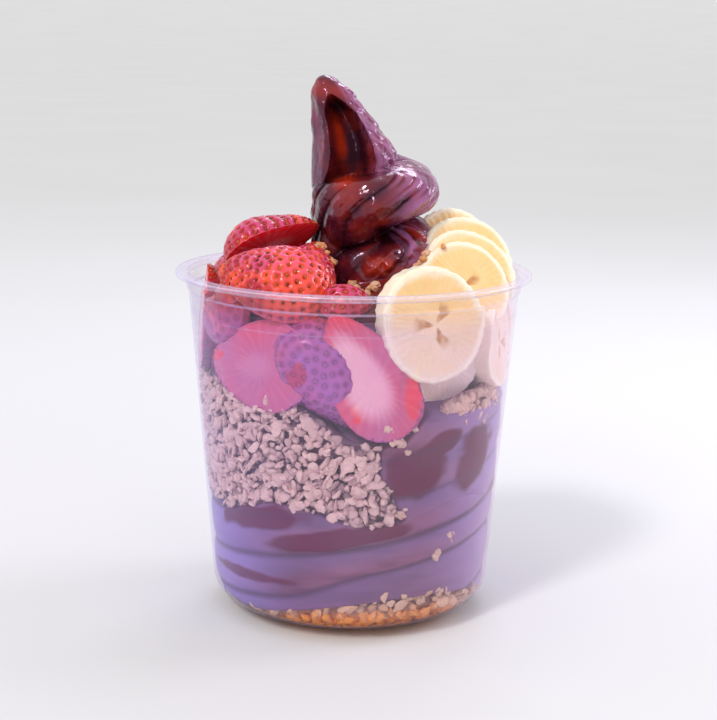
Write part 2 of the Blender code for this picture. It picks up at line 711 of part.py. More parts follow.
def hollow_depth(azimuth, height):
    """The spoon-shaped hollow in the front of the horn, between its two ridges."""
    share = np.clip(np.abs(azimuth) / HOLLOW_HALF_ANGLE, 0.0, 1.0)
    across = np.cos(share * pi / 2.0) ** 0.8
    level = np.clip((height - HOLLOW_BOTTOM) / (HOLLOW_TOP - HOLLOW_BOTTOM), 0.0, 1.0)
    along = np.sin(pi * level) ** 0.45
    narrowing = 1.0 - 0.5 * level ** 2
    return HOLLOW_DEPTH * across * along * narrowing


def swirl_ring(azimuth, height):
    """One ring: the oval, the rope that winds round it, and the hollow of the horn."""
    centre, oval = swirl_section(azimuth, height)
    turn = turn_phase(height) - (azimuth - pi / 2.0) / (2.0 * pi)
    share = turn % 1.0
    swell = np.sin(pi * share) ** ROPE_FULLNESS
    fade = 1.0 - smooth_step((azimuth - radians(95)) / radians(80))
    strength = np.where(turn < 0.0, 1.0, np.where(turn < 1.0, fade, 0.0))
    reach = np.maximum(ROPE_RADIUS - oval, 0.0)
    shift = np.where(turn < 1.0, (SWIRL_CENTRE_X - centre) * np.sin(azimuth), 0.0)
    radius = oval + (reach + shift) * swell * strength
    radius = radius - hollow_depth(azimuth, height) * (1.0 - swell * strength)
    return polar(azimuth, radius, height, centre)


def acai_side(azimuth, height):
    """The soft serve inside the cup: at the wall low down, further in where the fruit stands."""
    behind = smooth_step((np.abs(azimuth) - radians(155)) / radians(15))
    aside = smooth_step((azimuth - radians(50)) / radians(30))
    start = FRUIT_ZONE_START + (FRUIT_ZONE_BACK_START - FRUIT_ZONE_START) * aside
    inward = FRUIT_ZONE_DEPTH * smooth_step((height - start) / (6.0 * MM)) * (1.0 - behind)
    return content_radius(height) - inward - rope_fold(azimuth, height)


def make_swirl_mesh():
    azimuth = around(LAYER_COLUMNS)
    low = lower_acai_top(azimuth) + GAP
    reach = content_radius(LOWER_ACAI_TOP)
    front = smooth_step((np.cos(azimuth) + 0.4) / 1.4)
    shoulder = SHOULDER_BACK + SHOULDER_RISE * front
    rows = [polar(azimuth, reach * share, LOWER_ACAI_LEVEL + GAP) for share in (0.4, LEVEL_SHARE)]
    for share in (0.0, 0.25, 0.5, 0.62, 1.0):
        height = low + (shoulder - low) * share
        rows.append(polar(azimuth, acai_side(azimuth, height), height))
    edge = rows[-1]
    foot_height = turn_height(azimuth, ROPE_TURNS[0])
    foot = swirl_ring(azimuth, foot_height)
    for share in (0.3, 0.6, 0.85):
        ring = edge + (foot - edge) * share
        ring[:, 2] = shoulder + (foot_height - shoulder) * share ** 1.7
        rows.append(ring)
    for turn in ROPE_TURNS:
        rows.append(swirl_ring(azimuth, turn_height(azimuth, turn)))
    crease = turn_height(azimuth, ROPE_TURNS[-1])
    for share in HORN_SHARES:
        rows.append(swirl_ring(azimuth, crease + (SWIRL_TIP - crease) * share))
    return loft("acai_swirl", rows)


def build():
    clear_scene()
    collection = new_collection(COLLECTION)
    clear_plastic = material("clear_plastic", (0.90, 0.88, 0.95), 0.08, transmission=0.9)
    acai = material("acai_soft_serve", (0.12, 0.02, 0.05), 0.25)
    oats = material("toasted_granola", (0.62, 0.42, 0.28), 0.75)
    red_fruit = material("strawberry", (0.75, 0.03, 0.05), 0.3)
    pale_fruit = material("banana", (0.95, 0.78, 0.45), 0.4)

    make_cup(clear_plastic, collection)
    make_lower_acai(acai, collection)

    base_grains = wall_grains(
        base_granola_bottom, base_granola_top, BASE_GRAIN_SPACING, -pi, pi, SEED
    )
    make_granola("granola_base", make_base_granola_core(), base_grains, oats, collection)

    middle_grains = wall_grains(
        middle_granola_bottom, middle_granola_top, MIDDLE_GRAIN_SPACING,
        GRANOLA_FIRST, GRANOLA_LAST, SEED + 1
    )
    make_granola("granola_middle", make_middle_granola_core(), middle_grains, oats, collection)

    clump = clump_mesh("granola_clump", 0.0)
    make_granola("granola_clump", clump, clump_grains(), oats, collection)

    beds = [
        make_middle_granola_core(grow=CUTTER_GROWTH + CORE_INSET),
        clump_mesh("clump_bed", CLUMP_MARGIN),
    ]
    fruit, cutters = fit_fruit_together(banana_meshes() + berry_meshes(), beds)
    swirl = boolean_mesh(make_swirl_mesh(), cutters, "DIFFERENCE")
    add_object("acai_swirl", swirl, acai, collection)
    for name, mesh in fruit:
        look = pale_fruit if name.startswith("banana") else red_fruit
        add_object(name, mesh, look, collection)


build()
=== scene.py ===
"""Finishes the cup of acai soft serve: its plastic, soft serve, granola, fruit, stage and camera.

Metres, +Z up, the cup's axis at the origin. An azimuth is 0 at the viewer's side (-Y) and grows
towards +X. Sizes below are in millimetres where they are multiplied by MM.
"""

from math import cos, pi, radians, sin

import bmesh
import bpy
import numpy as np
from mathutils import Matrix, Vector


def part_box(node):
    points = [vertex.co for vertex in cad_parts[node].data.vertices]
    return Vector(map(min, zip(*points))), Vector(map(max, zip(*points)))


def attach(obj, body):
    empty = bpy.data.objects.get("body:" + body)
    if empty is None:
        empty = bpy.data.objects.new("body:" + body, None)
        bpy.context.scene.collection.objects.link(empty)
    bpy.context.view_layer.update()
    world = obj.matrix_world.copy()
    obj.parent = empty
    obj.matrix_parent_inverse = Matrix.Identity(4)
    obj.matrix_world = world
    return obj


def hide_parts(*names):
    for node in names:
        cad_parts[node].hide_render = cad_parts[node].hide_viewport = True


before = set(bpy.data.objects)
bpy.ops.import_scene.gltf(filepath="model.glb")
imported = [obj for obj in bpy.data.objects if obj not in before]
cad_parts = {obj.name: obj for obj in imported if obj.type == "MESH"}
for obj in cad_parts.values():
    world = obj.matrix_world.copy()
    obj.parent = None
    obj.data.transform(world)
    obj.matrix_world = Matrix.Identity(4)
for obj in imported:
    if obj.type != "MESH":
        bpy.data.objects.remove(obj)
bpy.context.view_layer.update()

bl_info = {
    "name": "Acai soft serve cup",
    "version": (1, 0, 0),
    "blender": (4, 5, 0),
    "location": "View3D > Sidebar > Acai",
    "description": "Builds the plastic, soft serve, granola and fruit of a layered acai cup",
    "category": "Add Mesh",
}

MM = 0.001
CUP_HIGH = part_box("cup")[1]
CUP_HEIGHT = CUP_HIGH[2]
RIM_RADIUS = CUP_HIGH[0]
CURL_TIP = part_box("acai_swirl")[1][2]
PROUD = 0.12 * MM               # how far what fills the cup reaches into its wall

# the cup's wall
COLLAR_RADIUS = 55.1 * MM
COLLAR_BOTTOM = 107.0 * MM
WALL = 0.7 * MM
WALL_TOP_RADIUS = 54.3 * MM
WALL_FOOT_RADIUS = 46.2 * MM
BASE_CURVE_HEIGHT = 11.0 * MM
BASE_FLAT_RADIUS = 26.0 * MM
LIP_RADIUS = 1.05 * MM
CUP_COLUMNS = 192

# the layers, as heights at the wall
BASE_GRANOLA_TOP = 11.5 * MM
BASE_GRANOLA_WAVE = 4.5 * MM
LOWER_TOP = 41.0 * MM
LOWER_WAVE = 3.0 * MM
LOWER_RISE = 3.5 * MM
LEVEL_SHARE = 0.85
MIDDLE_LOW = 66.5 * MM
MIDDLE_RISE = 12.5 * MM
MIDDLE_TILT = 3.0 * MM
MIDDLE_EDGE = 15.0 * MM
FRUIT_ZONE_START = 73.0 * MM
FRUIT_ZONE_BACK_START = 80.0 * MM
FRUIT_ZONE_DEPTH = 10.0 * MM
ROPE_HEIGHT = 14.0 * MM
ROPE_FOLD = 1.8 * MM
SHOULDER_BACK = 99.0 * MM
SHOULDER_RISE = 7.0 * MM

# the curl above the cup
CURL_CENTRE_X = 6.8 * MM
ROPE_RADIUS = 20.4 * MM
NECK_TOP = 141.0 * MM
NECK_HALF_WIDTH = 14.4 * MM
NECK_HALF_DEPTH = 12.0 * MM
HORN_LEFT_X = -14.5 * MM
HORN_RIGHT_X = 13.2 * MM
HORN_RIGHT_SLOPE = 0.79
HORN_START = 152.3 * MM
BEAD_RADIUS = 5.2 * MM
TURNS = (-2.0, -1.0, 0.0, 1.0, 2.0)
TURN_HEIGHTS = (79.0 * MM, 105.0 * MM, 131.0 * MM, 149.5 * MM, 168.0 * MM)
ROPE_FULLNESS = 0.4
FOOT_TURN = -0.45
HOLLOW_BOTTOM = 138.0 * MM
HOLLOW_TOP = 170.0 * MM
HOLLOW_DEPTH = 9.8 * MM
CURL_COLUMNS = 288
FILL_COLUMNS = 240

# the clump of granola at the right
CLUMP_AZIMUTH = radians(57)
CLUMP_LEVEL = 73.0 * MM
CLUMP_WIDTH = 25.0 * MM
CLUMP_HEIGHT = 9.0 * MM
CLUMP_DEPTH = 7.0 * MM

SEED = 11
FLAKE_SHAPES = 12
FRUIT_GAP = 0.35 * MM             # clear space between fruit and wall before it is pressed
SEED_SPACING = 2.7 * MM
PIT_RADIUS = 1.1 * MM

# the photograph's camera
CAMERA_PLACE = (0.0, -0.550499, 0.194911)
CAMERA_RIGHT = (0.999889, -0.000527, 0.014883)
CAMERA_UP = (-0.014479, 0.199567, 0.979777)
CAMERA_FORWARD = (0.003487, 0.979884, -0.199537)
CAMERA_LENS = 84.15

# where fruit lies wet against the wall: azimuth, height, half width, half height
CLEAR_SPOTS = (
    (-19, 87.5, 3.4, 3.4), (1, 77.5, 1.6, 1.5), (2, 74.5, 1.4, 1.3), (22, 82, 2.6, 6.5), (-60, 90, 7, 2.0),
)
# where the soft serve lies wet against the wall: azimuth, height, half width, half height, tilt
WET_PATCHES = (
    (24, 55.5, 11.5, 7.5, 0.0), (34, 65, 9, 3.2, 0.2), (54, 58.5, 10.5, 9.0, 0.25),
    (-5, 34.8, 27, 3.0, 0.13), (-38, 39.5, 23, 4.0, 0.12), (-46, 18.6, 25, 1.6, 0.02), (82, 44, 12, 2.2, 0.1),
    (112, 58, 18, 4.5, -0.2), (160, 50, 18, 3.4, 0.2), (-150, 30, 24, 2.4, 0.1), (128, 27, 20, 2.4, -0.1),
)
# pale rings round the plastic, painted highlights on its steps and lip: height, half width, strength; the
# first is the base's edge, where the dark colour at the base makes it a painted dark line
PAINTED_LIGHT_RINGS = (
    (4.6, 0.45, 0.75), (107.3, 0.6, 0.26), (100.4, 0.4, 0.12), (111.4, 0.4, 0.22), (113.1, 0.35, 0.5),
)
# the hollow's two ridges in the curl: heights, then x at each
LEFT_RIDGE = (
    (134, 138, 142.7, 147, 152, 158.5, 166, 171),
    (-13, -11.9, -10.4, -8.9, -8.2, -8.7, -10.8, -12.2),
)
RIGHT_RIDGE = ((134, 140, 146, 150, 155, 159, 164.5, 171), (2.5, 4.6, 6.2, 6.6, 5.4, 3.7, 0.2, -5.4))
# the middle granola's right edge: heights, then the azimuth at each
GRANOLA_EDGE = ((38, 41, 50, 55, 63, 68), (24, 22, 17, 12, 12, 17))
# lamps: name, place, size, power, colour
LAMPS = (
    ("key", (-0.35, -0.75, 0.6), (0.14, 0.2), 0.85, (1.0, 0.95, 1.0)),
    ("left_edge", (-0.75, 0.18, 0.3), (0.2, 0.5), 0.45, (0.70, 0.70, 1.0)),
    ("right_edge", (0.72, 0.22, 0.4), (0.34, 0.34), 2.4, (0.86, 0.80, 1.0)),
    ("glint", (0.2, -0.7, 0.4), (0.03, 0.03), 0.14, (1.0, 0.62, 0.30)),
    ("back", (0.15, 0.6, 0.7), (0.34, 0.18), 1.4, (0.82, 0.82, 1.0)),
)
LAMP_TARGET = (0.0, 0.0, 0.09)
# loose crumbs on top: x, y, spread, spread, count; and against the wall: azimuth, height, count
TOP_CRUMBS = (
    (-3, -21, 3.2, 2.0, 22), (-9, -23, 2.0, 1.5, 10), (21, -19, 3.6, 1.6, 20), (3, -27, 4.0, 3.0, 8),
    (12, 26, 5, 4, 14),
)
WALL_CRUMBS = (
    (15.5, 67, 7), (20.5, 64.5, 4), (22, 71.5, 3), (20.5, 42.5, 8), (37, 27.5, 5), (42.5, 33, 6), (14, 71, 5),
)
# factors that scramble the lattice's corners into random numbers
LATTICE_FACTORS = np.array([73856093, 19349663, 83492791])
SEED_FACTOR = 2654435761
MIX_FACTOR = 1274126177


class SoftServeSettings(bpy.types.PropertyGroup):
    """Colours of the soft serve, with the painted shade of its folds and its painted glow, and the depth of
    its grooves
    """

    # the colour of the painted shade in the folds
    deep: bpy.props.FloatVectorProperty(
        name="Deep", description="Colour in the folds", subtype="COLOR", default=(0.022, 0.003, 0.007)
    )
    flesh: bpy.props.FloatVectorProperty(
        name="Flesh", description="Colour of the rounded parts", subtype="COLOR",
        default=(0.060, 0.006, 0.015)
    )
    # the colour of the painted glow
    glow: bpy.props.FloatVectorProperty(
        name="Glow", description="Colour where light comes through", subtype="COLOR",
        default=(0.33, 0.020, 0.004)
    )
    film: bpy.props.FloatVectorProperty(
        name="Film", description="Colour behind the plastic", subtype="COLOR", default=(0.29, 0.115, 0.23)
    )
    groove: bpy.props.FloatProperty(
        name="Groove", description="Depth of the nozzle's grooves", unit="LENGTH", default=1.1 * MM
    )


class GranolaSettings(bpy.types.PropertyGroup):
    """Size of the oat flakes and their colours"""

    flake: bpy.props.FloatProperty(
        name="Flake", description="Mean length of an oat flake", unit="LENGTH", default=4.3 * MM
    )
    pale: bpy.props.FloatVectorProperty(
        name="Pale", description="Colour of an oat", subtype="COLOR", default=(0.76, 0.51, 0.38)
    )
    toasted: bpy.props.FloatVectorProperty(
        name="Toasted", description="Colour of a toasted oat", subtype="COLOR", default=(0.42, 0.23, 0.13)
    )
    syrup: bpy.props.FloatVectorProperty(
        name="Syrup", description="Colour of an oat in syrup", subtype="COLOR", default=(0.86, 0.28, 0.002)
    )


class FruitSettings(bpy.types.PropertyGroup):
    """Colours of the strawberries and the banana"""

    red: bpy.props.FloatVectorProperty(
        name="Red", description="Colour of a strawberry's skin", subtype="COLOR", default=(0.42, 0.003, 0.010)
    )
    orange: bpy.props.FloatVectorProperty(
        name="Orange", description="Colour of its ripe side", subtype="COLOR", default=(0.90, 0.085, 0.006)
    )
    heart: bpy.props.FloatVectorProperty(
        name="Heart", description="Colour of its pale heart", subtype="COLOR", default=(0.92, 0.58, 0.60)
    )
    cream: bpy.props.FloatVectorProperty(
        name="Cream", description="Colour of a banana's rim", subtype="COLOR", default=(0.97, 0.86, 0.68)
    )
    yellow: bpy.props.FloatVectorProperty(
        name="Yellow", description="Colour of its middle", subtype="COLOR", default=(0.97, 0.65, 0.29)
    )
    mark: bpy.props.FloatVectorProperty(
        name="Mark", description="Colour of its seed marks", subtype="COLOR", default=(0.50, 0.20, 0.05)
    )


class CupSettings(bpy.types.PropertyGroup):
    """How the plastic scatters light"""

    haze: bpy.props.FloatProperty(
        name="Haze", description="Share of light that the plastic scatters", subtype="FACTOR", default=0.06
    )
    haze_left: bpy.props.FloatVectorProperty(
        name="Haze left", description="Colour of that light at the left", subtype="COLOR",
        default=(0.60, 0.52, 0.95)
    )
    haze_right: bpy.props.FloatVectorProperty(
        name="Haze right", description="Colour of that light at the right", subtype="COLOR",
        default=(0.95, 0.72, 0.78)
    )


class AcaiCupSettings(bpy.types.PropertyGroup):
    """All the settings of the cup and what is in it"""

    soft_serve: bpy.props.PointerProperty(type=SoftServeSettings)
    granola: bpy.props.PointerProperty(type=GranolaSettings)
    fruit: bpy.props.PointerProperty(type=FruitSettings)
    cup: bpy.props.PointerProperty(type=CupSettings)


def smooth_step(value):
    """3t^2 - 2t^3 of the value held between 0 and 1."""
    clipped = np.clip(value, 0.0, 1.0)
    return clipped * clipped * (3.0 - 2.0 * clipped)


def ease_up(value, start, span):
    """0 up to the start, 1 from a span above it on, eased between."""
    return smooth_step((value - start) / span)


def ease_down(value, end, span):
    """1 until a span below the end, 0 from the end on, eased between."""
    return smooth_step((end - value) / span)


def hump(value):
    """1 at 0, rounded down to 0 at 1 on both sides."""
    return np.cos(np.clip(value, -1.0, 1.0) * pi / 2.0) ** 2


def bell(value):
    """1 at 0, fading evenly on both sides."""
    return np.exp(-value ** 2)


def noise(points, size, seed=0):
    """Value noise from -1 to 1: random numbers at the corners of a lattice, smoothly blended."""
    spot = np.asarray(points, dtype=float) / size + 57.3 + 11.1 * seed
    cell = np.floor(spot).astype(np.int64)
    part = smooth_step(spot - cell)
    total = np.zeros(spot.shape[:-1])
    for corner in range(8):
        step = np.array([corner & 1, (corner >> 1) & 1, corner >> 2])
        at = cell + step
        mixed = np.bitwise_xor.reduce(at * LATTICE_FACTORS, axis=-1) ^ (seed + 1) * SEED_FACTOR
        mixed = (mixed ^ (mixed >> 13)) * MIX_FACTOR
        value = ((mixed ^ (mixed >> 16)) & 65535) / 32767.5 - 1.0
        weight = np.prod(np.where(step == 1, part, 1.0 - part), axis=-1)
        total += value * weight
    return total


def fractal(points, size, seed=0, octaves=3):
    """Noise of halving size and strength, summed."""
    total = 0.0
    for octave in range(octaves):
        total = total + noise(points, size / 2 ** octave, seed + octave) / 2 ** octave
    return total


def wall_radius(height, outer=False):
    """The radius of the wall at a height: an ellipse's arc at the base, then a straight taper."""
    inset = 0.0 if outer else WALL
    low = 0.0 if outer else WALL
    taper = np.clip((height - BASE_CURVE_HEIGHT) / (COLLAR_BOTTOM - BASE_CURVE_HEIGHT), 0.0, 1.2)
    straight = WALL_FOOT_RADIUS + (WALL_TOP_RADIUS - WALL_FOOT_RADIUS) * taper
    drop = np.clip((BASE_CURVE_HEIGHT - height) / (BASE_CURVE_HEIGHT - low), 0.0, 1.0)
    bent = BASE_FLAT_RADIUS + (WALL_FOOT_RADIUS - BASE_FLAT_RADIUS) * np.sqrt(1.0 - drop * drop)
    return np.where(height < BASE_CURVE_HEIGHT, bent, straight) - inset


def fill_radius(height):
    """Where a filling lies: just inside the plastic of the wall, so that no air shows."""
    return wall_radius(height) + PROUD


def polar(azimuth, radius, height, centre_x=0.0):
    """Points at an azimuth, radius and height round an upright axis."""
    azimuth, radius, height = np.broadcast_arrays(azimuth, radius, height)
    across = centre_x + radius * np.sin(azimuth)
    return np.stack([across, -radius * np.cos(azimuth), height], axis=-1)


def around(columns):
    """Even azimuths for the columns of a ring."""
    return np.linspace(-pi, pi, columns, endpoint=False)


def capped_shares(steps, low=1, high=1):
    """Even shares from 0 to 1 as a column, the ends repeated for the rows that close a skin."""
    return np.concatenate([np.zeros(low), np.linspace(0.0, 1.0, steps), np.ones(high)])[:, None]


def point_grid(x, y, z):
    """Points from three arrays that are spread to one shape."""
    return np.stack(np.broadcast_arrays(x, y, z), axis=-1)


def reach_of(points):
    """How far points lie from the cup's axis."""
    return np.hypot(points[..., 0], points[..., 1])


def azimuth_of(points):
    """The azimuth of points round the cup's axis."""
    return np.arctan2(points[..., 0], -points[..., 1])


def normalised(arrows):
    """Arrows scaled to length 1."""
    return arrows / np.maximum(np.linalg.norm(arrows, axis=-1), 1e-9)[..., None]


def mesh_from(name, points, quads, triangles, smooth=True):
    """A mesh from whole arrays of points, four-sided faces and three-sided faces."""
    quads = np.asarray(quads, dtype=np.int32).reshape(-1, 4)
    triangles = np.asarray(triangles, dtype=np.int32).reshape(-1, 3)
    corners = np.concatenate([quads.ravel(), triangles.ravel()])
    starts = np.concatenate([np.arange(len(quads)) * 4, len(quads) * 4 + np.arange(len(triangles)) * 3])
    mesh = bpy.data.meshes.new(name)
    mesh.vertices.add(len(points))
    mesh.vertices.foreach_set("co", np.asarray(points, dtype=np.float32).ravel())
    mesh.loops.add(len(corners))
    mesh.loops.foreach_set("vertex_index", corners)
    mesh.polygons.add(len(starts))
    mesh.polygons.foreach_set("loop_start", starts.astype(np.int32))
    mesh.update(calc_edges=True)
    if smooth:
        mesh.shade_smooth()
    else:
        mesh.shade_flat()
    return mesh


def ring_mesh(name, rows):
    """Rings of points, lowest first, as a skin that a fan closes at each end."""
    rings, columns = rows.shape[:2]
    first = np.arange(columns)
    beside = (first + 1) % columns
    starts = (np.arange(rings - 1) * columns)[:, None]
    low, after = starts + first, starts + beside
    quads = np.stack([low, after, after + columns, low + columns], axis=-1)
    last = (rings - 1) * columns
    under = np.full(columns, rings * columns)
    low_fan = np.stack([beside, first, under], axis=-1)
    high_fan = np.stack([last + first, last + beside, under + 1], axis=-1)
    ends = np.array([rows[0].mean(axis=0), rows[-1].mean(axis=0)])
    points = np.concatenate([rows.reshape(-1, 3), ends])
    return mesh_from(name, points, quads, np.concatenate([low_fan, high_fan]))


def paint(mesh, **masks):
    """Stores numbers on a ring mesh's points; the two end points take the mean of their rings."""
    for name, values in masks.items():
        values = np.asarray(values, dtype=np.float32)
        if values.ndim == 2:
            values = np.concatenate([values.ravel(), [values[0].mean(), values[-1].mean()]])
        layer = mesh.attributes.new(name, "FLOAT", "POINT")
        layer.data.foreach_set("value", values.astype(np.float32))


def link_object(name, data):
    """An object that shows the data, linked to the scene."""
    thing = bpy.data.objects.new(name, data)
    bpy.context.scene.collection.objects.link(thing)
    return thing


def add_piece(name, mesh, looks, nodes=()):
    """Puts a finished mesh in the scene, riding on the cup and standing for its CAD nodes."""
    mesh.name = name
    for look in looks if isinstance(looks, list) else [looks]:
        mesh.materials.append(look)
    piece = link_object(name, mesh)
    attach(piece, "root")
    if nodes:
        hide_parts(*nodes)


class Look:
    """A material's node tree, with short calls for the nodes that the finishes share."""

    def __init__(self, name):
        self.material = bpy.data.materials.new(name)
        self.material.use_nodes = True
        self.tree = self.material.node_tree
        self.shader = self.tree.nodes["Principled BSDF"]
        self.output = self.tree.nodes["Material Output"]
        self.place = self.add("ShaderNodeTexCoord").outputs["Object"]

    def add(self, kind, **values):
        """A new node with its settings."""
        node = self.tree.nodes.new(kind)
        for key, value in values.items():
            setattr(node, key, value)
        return node

    def join(self, source, target):
        """Links an output to an input."""
        self.tree.links.new(source, target)

    def feed(self, target, source):
        """Links a socket, or sets the number or colour that stays the same."""
        if isinstance(source, bpy.types.NodeSocket):
            self.join(source, target)
        elif target.type == "RGBA" and len(source) == 3:
            target.default_value = (*source, 1.0)
        else:
            target.default_value = source

    def axis(self, letter):
        """The object's X, Y or Z."""
        parts = self.add("ShaderNodeSeparateXYZ")
        self.join(self.place, parts.inputs["Vector"])
        return parts.outputs[letter]

    def attribute(self, name):
        """A mask that is painted on the mesh."""
        return self.add("ShaderNodeAttribute", attribute_name=name).outputs["Fac"]

    def noise(self, size, detail=3.0, stretch=None):
        """Noise with features of a size in metres, stretched along an axis if asked."""
        texture = self.add("ShaderNodeTexNoise")
        texture.inputs["Scale"].default_value = 1.0 / size
        texture.inputs["Detail"].default_value = detail
        source = self.place
        if stretch:
            mapping = self.add("ShaderNodeMapping")
            mapping.inputs["Scale"].default_value = stretch
            self.join(source, mapping.inputs["Vector"])
            source = mapping.outputs["Vector"]
        self.join(source, texture.inputs["Vector"])
        return texture.outputs["Fac"]

    def ramp(self, source, low, high, to_low=0.0, to_high=1.0):
        """One range of numbers turned into another, eased."""
        step = self.add("ShaderNodeMapRange", interpolation_type="SMOOTHSTEP")
        self.join(source, step.inputs["Value"])
        for key, value in (("From Min", low), ("From Max", high), ("To Min", to_low), ("To Max", to_high)):
            step.inputs[key].default_value = value
        return step.outputs["Result"]

    def math(self, operation, first, second):
        """A sum, product or the like of two numbers."""
        step = self.add("ShaderNodeMath", operation=operation)
        self.feed(step.inputs[0], first)
        self.feed(step.inputs[1], second)
        return step.outputs["Value"]

    def mix(self, share, first, second):
        """A mix of two colours; sockets 0, 6 and 7 are the share and the colours."""
        step = self.add("ShaderNodeMix", data_type="RGBA")
        self.feed(step.inputs[0], share)
        self.feed(step.inputs[6], first)
        self.feed(step.inputs[7], second)
        return step.outputs[2]

    def blend(self, share, first, second):
        """A mix of two shaders."""
        step = self.add("ShaderNodeMixShader")
        for place, source in enumerate((share, first, second)):
            self.join(source, step.inputs[place])
        return step.outputs["Shader"]

    def bump(self, height, distance, strength):
        """Fine relief that only bends the light."""
        step = self.add("ShaderNodeBump")
        step.inputs["Distance"].default_value = distance
        step.inputs["Strength"].default_value = strength
        self.join(height, step.inputs["Height"])
        self.join(step.outputs["Normal"], self.shader.inputs["Normal"])

    def set(self, **values):
        """Sets the shader's inputs and gives the finished material."""
        for key, value in values.items():
            self.feed(self.shader.inputs[key.replace("_", " ")], value)
        return self.material


def soft_serve_look(settings):
    """Wet soft serve: plum as painted shade in the folds, wine red on the crowns, a painted ember glow where
    light comes through, and a painted sheen.
    """
    look = Look("soft_serve")
    cloud = look.noise(9 * MM, 4.0)
    fold = look.attribute("fold")
    # painted shade: the folds take the deep colour
    base = look.mix(look.ramp(fold, 0.1, 0.9), settings.flesh, settings.deep)
    base = look.mix(look.ramp(cloud, 0.45, 0.75, 0.0, 0.5), base, settings.glow)
    # painted glow from the glow mask
    base = look.mix(look.attribute("glow"), base, settings.glow)
    # painted sheen: the curl's highlights painted as a lighter colour
    base = look.mix(look.attribute("film"), base, (0.36, 0.12, 0.27))
    waves = look.math("MULTIPLY", look.noise(3.6 * MM, 1.0), 0.8)
    look.bump(look.math("ADD", waves, look.math("MULTIPLY", look.noise(1.1 * MM, 2.0), 0.12)), 0.9 * MM, 0.55)
    rough = look.ramp(look.noise(5 * MM, 3.0), 0.35, 0.7, 0.07, 0.20)
    return look.set(
        Base_Color=base, Roughness=rough, Specular_IOR_Level=look.ramp(fold, 0.3, 1.0, 0.5, 0.10),
        Specular_Tint=(0.95, 0.62, 0.92), Coat_Weight=look.ramp(fold, 0.3, 0.9, 0.28, 0.0),
        Coat_Roughness=0.04,
    )


def packed_soft_serve_look(settings):
    """Soft serve behind the plastic: pale and dull where it stands off, plum where it lies wet, with painted
    shade in the folds and the ropes' upper halves, and painted side light.
    """
    look = Look("packed_soft_serve")
    wet = look.attribute("wet")
    streak = look.noise(14 * MM, 4.0, (0.5, 0.5, 2.4))
    dull = look.mix(look.ramp(streak, 0.35, 0.65), (0.17, 0.060, 0.125), settings.film)
    # painted shade in the ropes' upper halves
    dull = look.mix(look.math("MULTIPLY", look.attribute("dusk"), 0.55), dull, (0.17, 0.115, 0.30))
    # painted side light: bluish towards the left, lavender towards the right
    dull = look.mix(look.ramp(look.axis("X"), -46 * MM, -14 * MM, 0.65, 0.0), dull, (0.33, 0.25, 0.72))
    dull = look.mix(look.ramp(look.axis("X"), 20 * MM, 46 * MM, 0.0, 0.65), dull, (0.42, 0.29, 0.66))
    high = look.ramp(look.axis("Z"), 88 * MM, 96 * MM)
    at_left = look.ramp(look.axis("X"), -2 * MM, 8 * MM, 0.9, 0.0)
    dull = look.mix(look.math("MULTIPLY", high, at_left), dull, (0.42, 0.13, 0.32))
    base = look.mix(look.math("MULTIPLY", wet, 0.92), dull, (0.120, 0.008, 0.052))
    # painted shade in the folds
    base = look.mix(look.math("MULTIPLY", look.attribute("fold"), 0.8), base, (0.085, 0.040, 0.105))
    look.bump(look.noise(4 * MM, 1.0), 0.3 * MM, 0.3)
    rough = look.ramp(wet, 0.0, 1.0, 0.6, 0.45)
    return look.set(Base_Color=base, Roughness=rough, Specular_IOR_Level=0.2)


def granola_look(name, settings):
    """Rolled oats: each flake paler or more toasted, with a fine bran grain."""
    look = Look(name)
    grain = look.noise(0.9 * MM, 3.0)
    base = look.mix(look.attribute("shade"), settings.pale, settings.toasted)
    base = look.mix(look.ramp(grain, 0.4, 0.75, 0.0, 0.45), base, settings.toasted)
    base = look.mix(look.attribute("film"), base, (0.77, 0.52, 0.64))
    base = look.mix(look.attribute("syrup"), base, settings.syrup)
    # painted shade between the flakes: darker further in from the wall and on the cores
    base = look.mix(look.attribute("deep"), base, (0.17, 0.085, 0.15))
    look.bump(grain, 0.3 * MM, 0.7)
    return look.set(Base_Color=base, Roughness=look.ramp(grain, 0.3, 0.7, 0.55, 0.85))


def strawberry_look(settings):
    """Red skin that ripens to orange, and a cut face with a pale heart and fine rays."""
    look = Look("strawberry")
    cloud = look.noise(7 * MM, 3.0)
    skin = look.mix(look.ramp(cloud, 0.45, 0.7), settings.red, settings.orange)
    skin = look.mix(look.attribute("ripe"), skin, settings.orange)
    # painted highlight: a pink net on the ridges between the pits
    skin = look.mix(look.math("MULTIPLY", look.attribute("ridge"), 0.6), skin, (0.82, 0.11, 0.34))
    flesh = look.mix(look.attribute("heart"), (0.92, 0.014, 0.03), settings.heart)
    base = look.mix(look.attribute("cut"), skin, flesh)
    film = look.mix(look.attribute("pit"), (0.42, 0.13, 0.47), (0.20, 0.05, 0.24))
    pale = look.mix(look.attribute("heart"), (0.47, 0.15, 0.38), (0.78, 0.32, 0.58))
    film = look.mix(look.attribute("cut"), film, pale)
    base = look.mix(look.attribute("film"), base, film)
    look.bump(look.noise(0.8 * MM, 2.0), 0.15 * MM, 0.4)
    return look.set(
        Base_Color=base, Roughness=look.ramp(cloud, 0.3, 0.7, 0.14, 0.30), Specular_Tint=(1.0, 0.60, 0.75),
        Coat_Weight=0.3, Coat_Roughness=0.05, Subsurface_Weight=0.15, Subsurface_Radius=(1.0, 0.3, 0.2),
        Subsurface_Scale=1.5 * MM,
    )


def seed_look():
    """Straw brown and dark seeds, misted below the collar."""
    look = Look("strawberry_seed")
    base = look.mix(look.ramp(look.noise(3 * MM, 1.0), 0.4, 0.6), (0.50, 0.10, 0.02), (0.20, 0.012, 0.008))
    base = look.mix(look.attribute("film"), base, (0.30, 0.09, 0.30))
    return look.set(Base_Color=base, Roughness=0.3)


